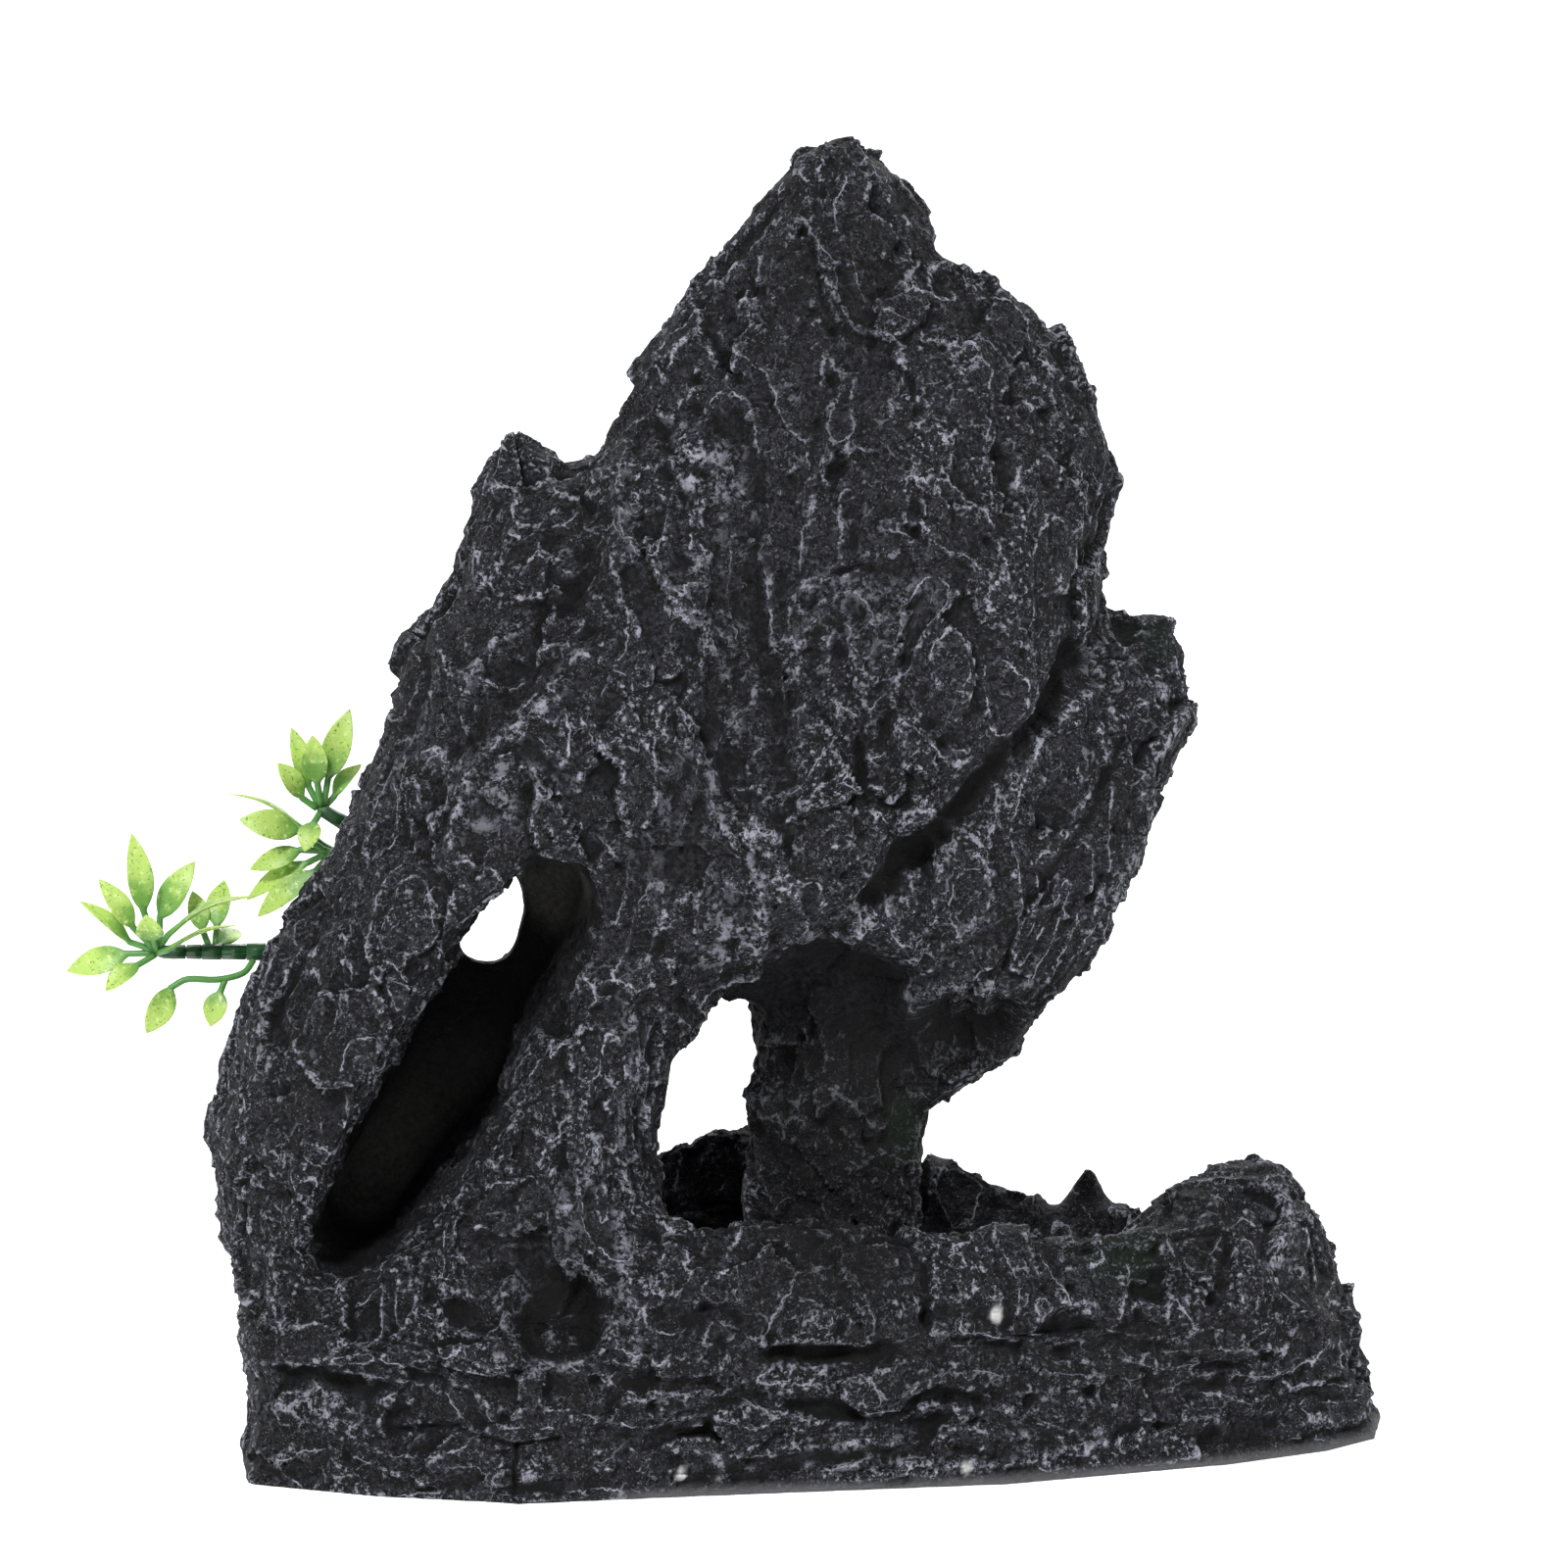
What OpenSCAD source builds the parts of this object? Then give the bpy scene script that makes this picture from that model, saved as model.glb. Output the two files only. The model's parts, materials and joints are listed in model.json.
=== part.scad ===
// Aquarium cave ornament: painted resin rock castings bonded together, with two
// plastic leaf sprigs in the far side of the left flank.
// Millimetres, +Z up, +X right, -Y towards the viewer of the plain side.
// The origin is on the underside of the footing plate.

/* [Base] */
// Thickness of the footing plate
plate_t = 3; // [2:0.5:5]
// Height of the layered plinth
plinth_h = 24; // [20:1:26]
// Number of rock layers in the plinth
layer_count = 6; // [3:1:8]
// Height of the loose corner block
corner_h = 9.5; // [7:0.5:14]
// Height of the seam between the peak and what carries it
bearing_z = 74; // [70:1:76]

/* [Rock] */
// Sides of each boulder
boulder_sides = 10; // [8:1:12]
// Seed of the boulders' turns
rock_seed = 11; // [1:1:99]

/* [Cave] */
// How far the front mouth of the slanted cave reaches into the rock
mouth_depth = 50; // [44:1:56]

/* [Planting] */
// Radius of the dark main stems
stem_r = 1.0; // [0.9:0.1:1.2]
// Radius of the pin at a stem's end
pin_r = 0.7; // [0.6:0.05:0.8]
// Radial running clearance of a spray on its stem
run_gap = 0.05; // [0.02:0.01:0.09]
// Thickness of a leaf at its midrib
leaf_t = 0.7; // [0.5:0.1:1]
// Radius of the glue plugs
plug_r = 3; // [2.5:0.1:3.5]

/* [Hidden] */
FAR = 250;

// ---------------------------------------------------------------- rock

// Plan of the footing plate, from the front left corner round to the left end
FOOT = [
  [-82, -34], [-62, -41], [-40, -45], [-15, -41], [6, -38], [34, -34], [68, -23],
  [84, -15], [92, -8], [94, 4], [90, 18], [76, 30], [50, 38], [10, 42],
  [-30, 42], [-60, 37], [-77, 26], [-84, 8], [-84, -18]
];

// Each station is one boulder: its centre x, y, z and its half-sizes x, y, z
BUTTRESS = [
  [-24, 0, 145, 14, 14, 9], [-33, -1, 134, 19, 18, 12], [-36, -2, 120, 22, 21, 14],
  [-40, -2, 104, 25, 24, 14], [-44, -3, 88, 27, 27, 14], [-53, -4, 70, 31.5, 29, 14],
  [-56, -4, 52, 33, 30, 14], [-56, -4, 34, 31, 31, 14], [-54, -3, 16, 30, 32, 12]
];
APRON = [[-64, -12, 20, 18, 26, 16], [-42, -17, 20, 18, 25, 14], [-26, -18, 22, 12, 21, 16]];
LEG = [[-30, -10, 66, 12, 17, 10], [-30, -12, 50, 10.5, 19, 12], [-30, -13, 32, 11, 22, 14]];
SPUR = [[-41, 1, 152, 4.5, 6, 5.5], [-41, 1, 143, 8, 10, 9], [-41, 0, 130, 11, 14, 12]];
LEDGE = [
  [-15, -4, 150, 12, 11, 10], [-20, -6, 134, 18, 16, 13], [-24, -8, 117, 22, 18, 14],
  [-28, -9, 101, 22, 18, 13]
];
SLAB_RIDGE = [[-30, -12, 116, 13, 14, 11], [-40, -14, 104, 12, 14, 11], [-50, -16, 92, 9, 12, 9]];
PEAK = [
  [8.3, 6, 195, 8, 8, 6.5], [8.5, 6, 188, 14.5, 11, 8], [4, 6, 174, 22, 15, 10],
  [6, 5, 158, 31, 19, 12], [9, 3, 140, 36, 22, 14], [10, 0, 120, 36, 24, 14],
  [7, -4, 102, 30, 25, 12], [2, -8, 90, 22, 21, 10]
];
LIP = [[-16, -14, 87, 11, 12, 10], [-3, -17, 88, 11, 12, 8], [9, -17, 95, 10, 11, 9]];
ARCH_ROOF = [[-35, -6, 62, 16, 19, 12], [-22, -6, 77, 14, 18, 12], [-7, -3, 86, 14, 19, 12]];
FACE = [
  [18, 3, 172, 15, 13, 10], [20, 1, 156, 24, 18, 12], [22, 0, 138, 25, 22, 14],
  [24, -2, 120, 22, 23, 12], [14, -5, 104, 20, 23, 12]
];
CREST = [
  [29.5, 5, 178, 5, 8, 5], [32, 5, 168, 11.5, 12, 8], [37, 4, 150, 14.5, 15, 12],
  [36, 3, 136, 13, 17, 12], [34, 2, 122, 12, 18, 12]
];
SHOULDER = [
  [56.5, 5, 123, 6, 7, 5.5], [52, 4, 114, 11.5, 13, 9], [45, 1, 102, 14, 19, 10],
  [38, -1, 90, 16.5, 22, 11], [31, -1, 78, 17, 21, 10], [27, 3, 68, 13.5, 15, 9]
];
WEB = [[38, 0, 112, 13, 19, 10], [28, -3, 98, 16, 22, 11], [20, -4, 86, 15, 21, 10]];
UNDER_LIP = [[31, 8, 61, 8.5, 12, 6.5], [17, 9, 57, 9, 12, 9]];
PILLAR = [
  [9, 6, 80, 15, 15, 10], [8.5, 6, 66, 12.5, 12, 10], [8.5, 6, 50, 12.5, 12, 10],
  [8.5, 6, 32, 14, 12, 12]
];
FRONT_WALL = [
  [-15, -30, 20, 10, 10.5, 20], [-2, -28, 20, 11, 10, 20], [15, -26, 18, 11, 10, 20],
  [33, -22, 17, 11, 10, 19], [52, -17, 17, 10, 9, 19], [68, -9, 17, 11, 12, 19]
];
REAR_WALL = [
  [-18, 31, 16, 9, 9, 21], [-4, 32, 18, 10, 9, 23], [12, 32, 16, 10, 9, 22],
  [28, 30, 14, 10, 9, 20], [42, 28, 11, 9, 9, 17], [56, 24, 14, 10, 8, 16]
];
SPIKE = [[48.8, 28, 33.5, 1.4, 1.4, 2], [48.4, 27.5, 25, 5, 4.5, 7]];
KNOLL = [
  [60, -2, 19, 9, 14, 19], [70, 2, 20, 11, 17, 21.5], [76.5, 5, 29, 7, 13, 11.5],
  [83, 5, 5, 10, 15, 9]
];

// The cave's front mouth and its far opening, in x and z
MOUTH = [
  [-67.5, 28.5], [-73.5, 34], [-72, 40], [-61.5, 59.5], [-49, 84], [-38, 94],
  [-33.5, 96.5], [-28.5, 88.5], [-29.7, 82], [-38, 64], [-43, 52.5], [-60, 33.5]
];
FAR_MOUTH = [[-40, 84], [-42, 76], [-48.5, 64.5], [-50, 70], [-52, 86], [-46, 93]];

// Axes of the stems: where each leaves the rock, and how far it leans from upright
LOWER_HOLE = [-75.5, 15, 72.8];
LOWER_LEAN = 90;
UPPER_HOLE = [-58, 20, 85.7];
UPPER_LEAN = 59;

// Lengths along a sprig: visible stem, end pin, cap, collar and glued root. The collars' middles
// are measured from the rock, and wall is the thickness of a collar or a cap round its bore.
lower_stem_l = 18.5;
upper_stem_l = 13;
pin_l = 3.4;
cap_l = 5;
collar_l = 3;
end_play = 0.3;
wall = 0.9;
root_l = 4.5;
branch_at = 7.5;
back_spray_at = 14.5;
left_spray_at = 8.8;

function turn_of(k) = rands(0, 360, 1, rock_seed + k)[0];

// One boulder, a coarse ball stretched to its half-sizes
module boulder(s) {
  fill_out = 1 / cos(180 / boulder_sides);
  translate([s[0], s[1], s[2]])
    scale([s[3], s[4], s[5]] * fill_out)
      rotate([0, 0, turn_of(s[0] + s[2])])
        sphere(r = 1, $fn = boulder_sides);
}

// A rock mass that runs through a list of stations
module chain(stations) {
  for (i = [0 : len(stations) - 2])
    hull() {
      boulder(stations[i]);
      boulder(stations[i + 1]);
    }
}

// The plinth, in layers that step in and out like bedded slate
module strata() {
  layer_h = plinth_h / layer_count;
  difference() {
    for (i = [0 : layer_count - 1])
      translate([0, 0, i * layer_h])
        linear_extrude(layer_h + 0.01)
          offset(delta = -rands(0.2, 2.2, 1, rock_seed + i)[0])
            polygon(FOOT);
    translate([93, -60, 6]) rotate([0, -30, 0]) cube([40, 140, 60]);
  }
}

// A thin upright sheet of a flat outline in x and z, at a depth of y
module upright(y) {
  translate([0, y, 0]) rotate([90, 0, 0]) linear_extrude(1) children();
}

// The slanted cave: a flared front mouth that runs deep into the rock, and a far opening
module cave() {
  hull() {
    upright(mouth_depth - 40) offset(delta = -3) polygon(MOUTH);
    upright(-20) polygon(MOUTH);
    upright(-50) offset(delta = 3) polygon(MOUTH);
  }
  hull() {
    upright(1) polygon(FAR_MOUTH);
    upright(60) translate([-2, -4]) offset(delta = 2) polygon(FAR_MOUTH);
  }
}

// Puts its children, drawn along +Z from the rock, on a sprig's axis
module on_axis(hole, lean) {
  translate(hole) rotate([0, -lean, 0]) children();
}

// Pockets that the stems' glue plugs sit in
module plug_pockets() {
  on_axis(LOWER_HOLE, LOWER_LEAN) plug_pocket();
  on_axis(UPPER_HOLE, UPPER_LEAN) plug_pocket();
}

module plug_pocket() {
  translate([0, 0, -root_l - 1]) cylinder(r = plug_r + 0.1, h = 40, $fn = 24);
}

// The whole rock, before it is parted into its castings
module rock() {
  difference() {
    union() {
      strata();
      chain(BUTTRESS);
      chain(APRON);
      chain(LEG);
      chain(SPUR);
      chain(LEDGE);
      chain(SLAB_RIDGE);
      chain(PEAK);
      chain(LIP);
      chain(ARCH_ROOF);
      chain(FACE);
      chain(CREST);
      chain(SHOULDER);
      chain(WEB);
      chain(UNDER_LIP);
      chain(PILLAR);
      chain(FRONT_WALL);
      chain(REAR_WALL);
      chain(SPIKE);
      chain(KNOLL);
    }
    cave();
    plug_pockets();
    translate([0, 0, -50]) cube([400, 400, 100], center = true);
  }
}

// ---------------------------------------------------------------- partings

// A zone is [name, low corner, high corner, lean, pivot x, pivot z]. Zones are taken in
// order, so each casting is what its zone holds of the rock that is still left.
ZONES = [
  ["base_corner", [-FAR, -FAR, -FAR], [-41, FAR, corner_h]],
  ["base_plate", [-FAR, -FAR, -FAR], [FAR, FAR, plate_t]],
  ["rear_spike", [42, 20, 28], [55, FAR, 60]],
  ["right_knoll", [51, -FAR, 0], [FAR, FAR, 60]],
  ["front_wall", [-20, -FAR, 0], [FAR, -8, 44]],
  ["rear_wall", [-27, 19, 0], [FAR, FAR, 44]],
  ["basin_floor", [-20, -FAR, 0], [FAR, FAR, 28]],
  ["left_plinth", [-FAR, -FAR, 0], [FAR, FAR, plinth_h]],
  ["pillar", [-6.5, -FAR, 0], [24, FAR, bearing_z]],
  ["right_shoulder", [0, -FAR, -48], [FAR, FAR, FAR], 38, 20, 92],
  ["cave_outer_wall", [-FAR, -FAR, -FAR], [0, FAR, 50], 32, -52, 64],
  ["cave_inner_leg", [-FAR, -FAR, 0], [0, FAR, bearing_z]],
  ["left_spur", [-FAR, -FAR, 132], [-31, FAR, FAR]],
  ["right_crest", [25.5, -FAR, 0], [FAR, FAR, FAR]],
  ["buttress", [-FAR, -FAR, 0], [-4, FAR, 160]],
  ["main_peak", [-FAR, -FAR, 0], [FAR, FAR, FAR]]
];

function zone_of(name) = search([name], ZONES)[0];

module zone(i) {
  z = ZONES[i];
  lean = len(z) > 3 ? z[3] : 0;
  pivot = len(z) > 3 ? [z[4], 0, z[5]] : [0, 0, 0];
  translate(pivot)
    rotate([0, lean, 0])
      translate(z[1])
        cube(z[2] - z[1]);
}

module casting(name) {
  k = zone_of(name);
  difference() {
    intersection() {
      rock();
      zone(k);
    }
    for (j = [0 : 1 : k - 1]) zone(j);
  }
}

module base_plate() {
  color("#3a3b40")
    difference() {
      linear_extrude(plate_t) polygon(FOOT);
      zone(0);
    }
}
module base_corner() { color("#303136") casting("base_corner"); }
module left_plinth() { color("#34353b") casting("left_plinth"); }
module basin_floor() { color("#202125") casting("basin_floor"); }
module front_wall() { color("#3c3d44") casting("front_wall"); }
module rear_wall() { color("#2a2b30") casting("rear_wall"); }
module rear_spike() { color("#44454c") casting("rear_spike"); }
module right_knoll() { color("#33343a") casting("right_knoll"); }
module pillar() { color("#1d1e21") casting("pillar"); }
module cave_outer_wall() { color("#383940") casting("cave_outer_wall"); }
module cave_inner_leg() { color("#3f4047") casting("cave_inner_leg"); }
module buttress() { color("#3a3b42") casting("buttress"); }
module left_spur() { color("#45464e") casting("left_spur"); }
module main_peak() { color("#35363c") casting("main_peak"); }
module right_crest() { color("#3d3e45") casting("right_crest"); }
module right_shoulder() { color("#2f3035") casting("right_shoulder"); }

// ---------------------------------------------------------------- planting

// A leaf is [stalk, tip, width, facing, arch]. The stalk's points run from the spray's hub to the
// foot of the blade. The facing is the way that the flat of the blade looks, and the arch is how
// far its middle bows that way, as a share of its length. Points are measured from the hub.
LOWER_WHORL = [
  [[[-0.4, -0.2, 0.6], [-2.3, -1, 6.7]], [-3.9, -2, 19.3], 4.0, [0.3, -1, 0], 0.10],
  [[[-0.7, -0.4, 0.5], [-3.9, -2, 4.3]], [-9.0, -4, 12.4], 3.8, [0.4, -1, 0.2], 0.12],
  [[[-0.9, 0, 0.3], [-4.7, 0, 1.6]], [-12.3, -1, 8.3], 3.0, [0.6, -1, 0.6], 0.10],
  [[[-0.9, 0.2, -0.2], [-5.0, 0.5, -0.4]], [-14.7, 1, -3.3], 4.6, [0, -1, 0.4], 0.06],
  [[[-0.7, -0.5, -0.4], [-3.1, -2, -1.6]], [-8.1, -5, -5.3], 3.2, [-0.4, -1, 0.6], 0.10],
  [[[-0.1, 0.5, 0.7], [0, 1.5, 5.1]], [5.5, 3, 13.9], 4.4, [-0.2, -1, 0.2], 0.10],
  [[[-0.3, -0.7, 0.4], [-0.6, -3.2, 2.6]], [-1.4, -6.6, 7.2], 4.0, [0, -1, -0.8], 0.06],
  [[[-0.1, -0.6, 0.6], [1.6, -2.4, 3.2]], [15.5, -4, 9.7], 3.2, [-0.3, -0.15, 1], 0.10],
  [[[-0.1, -0.9, 0.1], [1.6, -3.4, 1.0]], [12.4, -5, 5.2], 3.0, [-0.2, 0.1, 1], 0.08]
];
LOWER_BACK = [
  [[[-0.6, 1.0, 0.9], [-1.6, 3, 2.8]], [-3.4, 6, 8.6], 3.2, [0.2, -1, 0.2], 0.10],
  [[[0.5, 0.9, 1.0], [0.6, 3.2, 3.4]], [1.5, 8, 10], 3.8, [-0.2, -1, 0.3], 0.10],
  [[[0.5, 1.3, 0.1], [1, 3.6, 0.2]], [3.5, 10, 1.5], 3.4, [0.4, -0.2, 1], 0.08],
  [[[-0.5, 1.3, -0.4], [-1.4, 3.6, -0.9]], [-5.5, 10, -2.6], 3.6, [0.3, -0.3, 1], 0.10]
];
LOWER_DROOP = [
  [
    [[-0.4, -0.6, -1.2], [-2, -2.2, -3], [-6, -3.2, -3.8], [-10.5, -3.8, -3.6], [-13, -4.2, -4.8]],
    [-17, -5.6, -11.9], 3.6, [0.2, -1, 0.1], 0.10
  ],
  [[[-4.6, -2.8, -3.6], [-5.4, -3.4, -5.6]], [-7, -4.8, -11], 3.4, [-0.1, -1, 0.2], 0.08]
];
UPPER_WHORL = [
  [[[0.3, 0.1, 0.8], [1, 0.5, 5]], [4.5, 1, 15.9], 4.0, [-0.1, -1, 0.1], 0.08],
  [[[-0.1, -0.4, 0.8], [-0.6, -0.9, 4.4]], [-1.2, -2, 12.3], 3.8, [0, -1, 0.2], 0.10],
  [[[-0.5, 0.3, 0.7], [-2.1, 0.9, 3.6]], [-4.8, 2.2, 12.8], 3.2, [0.3, -1, 0.1], 0.10],
  [[[-0.8, -0.2, 0.3], [-3.0, -0.6, 2]], [-6.8, -1, 7.7], 3.0, [0.4, -1, 0.5], 0.10],
  [[[-0.3, -0.8, -0.4], [-1.0, -2.6, -1.4]], [-2.4, -5.6, -5.6], 3.8, [-0.2, -1, 0.5], 0.06],
  [[[0.5, 0.6, 0.5], [1.8, 1.9, 1.8]], [6, 5, 6.5], 3.4, [-0.3, -0.6, 1], 0.08]
];
UPPER_LEFT = [
  [[[-0.9, -0.5, -1.2], [-6.0, -1, -2.2], [-10.8, -0.6, 1]], [-20, -2.6, 3.3], 4.4, [0.1, -1, 0.4], 0.08],
  [[[-6.0, -1, -2.1], [-10.6, -0.2, -2]], [-18.6, -1, -5], 3.4, [0, -1, 0.3], 0.08],
  [[[-5.8, -0.7, -2.1], [-10.4, 1.6, 1]], [-22.2, 4, 6.2], 3.0, [0.2, 0.1, 1], 0.10],
  [[[-5.6, -0.5, -2.0], [-9.8, 2.8, -0.2]], [-17.2, 6, 2.8], 2.8, [0.2, 0.2, 1], 0.10],
  [[[-5.7, -1.1, -2.3], [-8.2, -0.9, -5.2]], [-17.4, -2, -12.4], 3.6, [-0.3, -1, 0.3], 0.10],
  [[[-6.2, -0.8, -2.3], [-9.4, 1.0, -4.2]], [-19.4, 1.5, -10.4], 3.2, [-0.2, -1, 0.6], 0.10]
];

leaf_steps = 7;
stalk_r = 0.5;

function unit(v) = v / norm(v);

// Half-width along a blade as a share of its widest, which is a little before its middle
function blade_w(t) = sin(180 * pow(t, 0.85));

// One leaf and its stalk: a closed skin with a four-cornered section at each point of its spine
module leaf(row) {
  stalk = row[0];
  foot = stalk[len(stalk) - 1];
  run = row[1] - foot;
  bow = unit(row[3]) * row[4] * norm(run);
  blade = [for (i = [1 : leaf_steps - 1]) let (t = i / leaf_steps) foot + run * t + bow * sin(180 * t)];
  spine = concat(stalk, blade, [row[1]]);
  rings = len(spine) - 1;
  wide = concat(
    [for (p = stalk) stalk_r],
    [for (i = [1 : leaf_steps - 1]) max(stalk_r / 2, row[2] / 2 * blade_w(i / leaf_steps))]
  );
  thick = concat([for (p = stalk) stalk_r], [for (p = blade) leaf_t / 2]);
  skin = [
    for (i = [0 : rings - 1])
      let (
        way = unit(spine[i + 1] - spine[max(i - 1, 0)]),
        side = unit(cross(row[3], way)),
        up = cross(way, side)
      )
        for (q = [side * wide[i], up * thick[i], -side * wide[i], -up * thick[i]]) spine[i] + q
  ];
  last = 4 * rings;
  polyhedron(
    points = concat(skin, [row[1]]),
    faces = concat(
      [[0, 1, 2, 3]],
      [
        for (i = [0 : rings - 2]) for (j = [0 : 3])
          let (a = 4 * i + j, b = 4 * i + (j + 1) % 4)
            for (face = [[a, a + 4, b + 4], [a, b + 4, b]]) face
      ],
      [for (j = [0 : 3]) [last, last - 4 + (j + 1) % 4, last - 4 + j]]
    )
  );
}

module leaves(rows) {
  for (row = rows) leaf(row);
}

// A whorl: a cap that turns on the pin at a stem's end, with leaves that grow from its closed tip
module whorl(hole, lean, length, rows) {
  cap_r = pin_r + wall;
  hub_at = length + cap_l - cap_r / 2;
  union() {
    on_axis(hole, lean)
      translate([0, 0, length + end_play])
        difference() {
          cylinder(r = cap_r, h = cap_l - end_play, $fn = 48);
          translate([0, 0, -1]) cylinder(r = pin_r + run_gap, h = pin_l + 1, $fn = 48);
        }
    translate(hole + hub_at * [-sin(lean), 0, cos(lean)]) leaves(rows);
  }
}

// A spray: a collar that turns on the stem, with leaves that grow from its rim
module spray(hole, lean, at, rows) {
  union() {
    on_axis(hole, lean)
      translate([0, 0, at - collar_l / 2])
        difference() {
          cylinder(r = stem_r + wall, h = collar_l, $fn = 48);
          translate([0, 0, -1]) cylinder(r = stem_r + run_gap, h = collar_l + 2, $fn = 48);
        }
    translate(hole + at * [-sin(lean), 0, cos(lean)]) leaves(rows);
  }
}

// A main stem: its glued root, the rings that keep each collar in place, and the end pin
module stem(hole, lean, length, collars) {
  ring_w = 0.6;
  on_axis(hole, lean) {
    translate([0, 0, -root_l]) cylinder(r = stem_r, h = root_l + length, $fn = 48);
    for (at = collars)
      for (end = [-1, 1])
        translate([0, 0, at + end * (collar_l / 2 + end_play + ring_w / 2) - ring_w / 2])
          cylinder(r = stem_r + 0.4, h = ring_w, $fn = 48);
    translate([0, 0, length - ring_w]) cylinder(r = stem_r + 0.4, h = ring_w, $fn = 48);
    cylinder(r = pin_r, h = length + pin_l, $fn = 48);
  }
}

// A glue plug that fills the hole round a stem's root
module plug(hole, lean) {
  on_axis(hole, lean)
    difference() {
      translate([0, 0, -root_l]) cylinder(r = plug_r, h = root_l, $fn = 48);
      translate([0, 0, -root_l - 1]) cylinder(r = stem_r, h = root_l + 2, $fn = 48);
    }
}

module lower_plug() { color("#45464b") plug(LOWER_HOLE, LOWER_LEAN); }
module lower_stem() {
  color("#1f5a34") stem(LOWER_HOLE, LOWER_LEAN, lower_stem_l, [branch_at, back_spray_at]);
}
module lower_whorl() { color("#a8cf6d") whorl(LOWER_HOLE, LOWER_LEAN, lower_stem_l, LOWER_WHORL); }
module lower_branch() { color("#5fa557") spray(LOWER_HOLE, LOWER_LEAN, branch_at, LOWER_DROOP); }
module lower_back_spray() { color("#9cc763") spray(LOWER_HOLE, LOWER_LEAN, back_spray_at, LOWER_BACK); }
module upper_plug() { color("#45464b") plug(UPPER_HOLE, UPPER_LEAN); }
module upper_stem() { color("#1f5a34") stem(UPPER_HOLE, UPPER_LEAN, upper_stem_l, [left_spray_at]); }
module upper_whorl() { color("#a8cf6d") whorl(UPPER_HOLE, UPPER_LEAN, upper_stem_l, UPPER_WHORL); }
module upper_left_spray() { color("#a8cf6d") spray(UPPER_HOLE, UPPER_LEAN, left_spray_at, UPPER_LEFT); }

base_plate();
base_corner();
left_plinth();
basin_floor();
front_wall();
rear_wall();
rear_spike();
right_knoll();
pillar();
cave_outer_wall();
cave_inner_leg();
buttress();
left_spur();
main_peak();
right_crest();
right_shoulder();
lower_plug();
lower_stem();
lower_whorl();
lower_branch();
lower_back_spray();
upper_plug();
upper_stem();
upper_whorl();
upper_left_spray();
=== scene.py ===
# The visual model of the resin cave ornament: rock, planting, paint and studio.
import itertools
import json
import math

import bpy
import numpy as np
from mathutils import Matrix, Vector


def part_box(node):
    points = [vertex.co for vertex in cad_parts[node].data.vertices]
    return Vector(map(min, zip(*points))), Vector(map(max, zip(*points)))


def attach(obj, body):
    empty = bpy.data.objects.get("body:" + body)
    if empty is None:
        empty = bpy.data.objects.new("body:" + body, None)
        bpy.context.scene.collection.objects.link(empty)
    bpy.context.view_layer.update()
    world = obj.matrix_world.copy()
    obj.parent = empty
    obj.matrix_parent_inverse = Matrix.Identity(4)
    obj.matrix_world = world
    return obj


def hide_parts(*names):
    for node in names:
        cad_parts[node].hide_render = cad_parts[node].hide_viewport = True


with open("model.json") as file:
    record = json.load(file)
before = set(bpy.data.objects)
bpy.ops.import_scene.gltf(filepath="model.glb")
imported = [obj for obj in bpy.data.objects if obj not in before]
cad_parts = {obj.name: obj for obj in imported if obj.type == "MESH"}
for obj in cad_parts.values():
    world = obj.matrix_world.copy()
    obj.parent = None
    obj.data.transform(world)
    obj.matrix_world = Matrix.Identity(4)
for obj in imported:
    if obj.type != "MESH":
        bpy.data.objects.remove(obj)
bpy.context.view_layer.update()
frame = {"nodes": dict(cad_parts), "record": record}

MM = 0.001
BLANK_VOXEL = 1.0  # mm between the vertices of the castings' first joining
RELIEF_VOXEL = 0.6  # mm between the rock's vertices
VALLEY_FILL = 3.5  # mm, the reach of the fill in the valleys between rock masses
TRIM = 1.0  # mm, taken off the open faces to make room for the relief

# ---------------------------------------------------------------- camera, lights and floor

CAMERA_ELEVATION = 10.0  # degrees above the horizon
CAMERA_REACH = 1.0822  # metres from the camera to the middle of the frame
CAMERA_LENS = 160.9  # mm, on a 36 mm sensor
AIM = Vector((0, 0, 0.10225))

WORLD_GLOW = 0.36
FLOOR_GLOW = 0.6
WALL_GLOW = 1.1
WALL_DISTANCE = 20  # metres behind the ornament
BACKDROP_SIZE = 60  # metres

# Lights: [name, place in metres, disc's diameter, watts]
LIGHTS = [
    ["key", (-0.4, -1.0, 1.1), 0.3, 17.5],
    ["fill", (0.9, -0.9, 0.4), 0.6, 4],
    ["back", (0.3, 1.0, 0.9), 0.8, 8],
]


def look_at(thing, target):
    thing.rotation_euler = (target - thing.location).to_track_quat("-Z", "Y").to_euler()


def make_camera():
    data = bpy.data.cameras.new("camera")
    data.lens = CAMERA_LENS
    data.sensor_width = 36
    data.clip_start = 0.05
    camera = bpy.data.objects.new("camera", data)
    lift = math.radians(CAMERA_ELEVATION)
    camera.location = AIM + CAMERA_REACH * Vector((0, -math.cos(lift), math.sin(lift)))
    look_at(camera, AIM)
    bpy.context.scene.collection.objects.link(camera)
    bpy.context.scene.camera = camera


def area_light(name, place, size, power):
    data = bpy.data.lights.new(name, "AREA")
    data.shape = "DISK"
    data.size = size
    data.energy = power
    lamp = bpy.data.objects.new(name, data)
    lamp.location = place
    look_at(lamp, AIM)
    bpy.context.scene.collection.objects.link(lamp)


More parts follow.
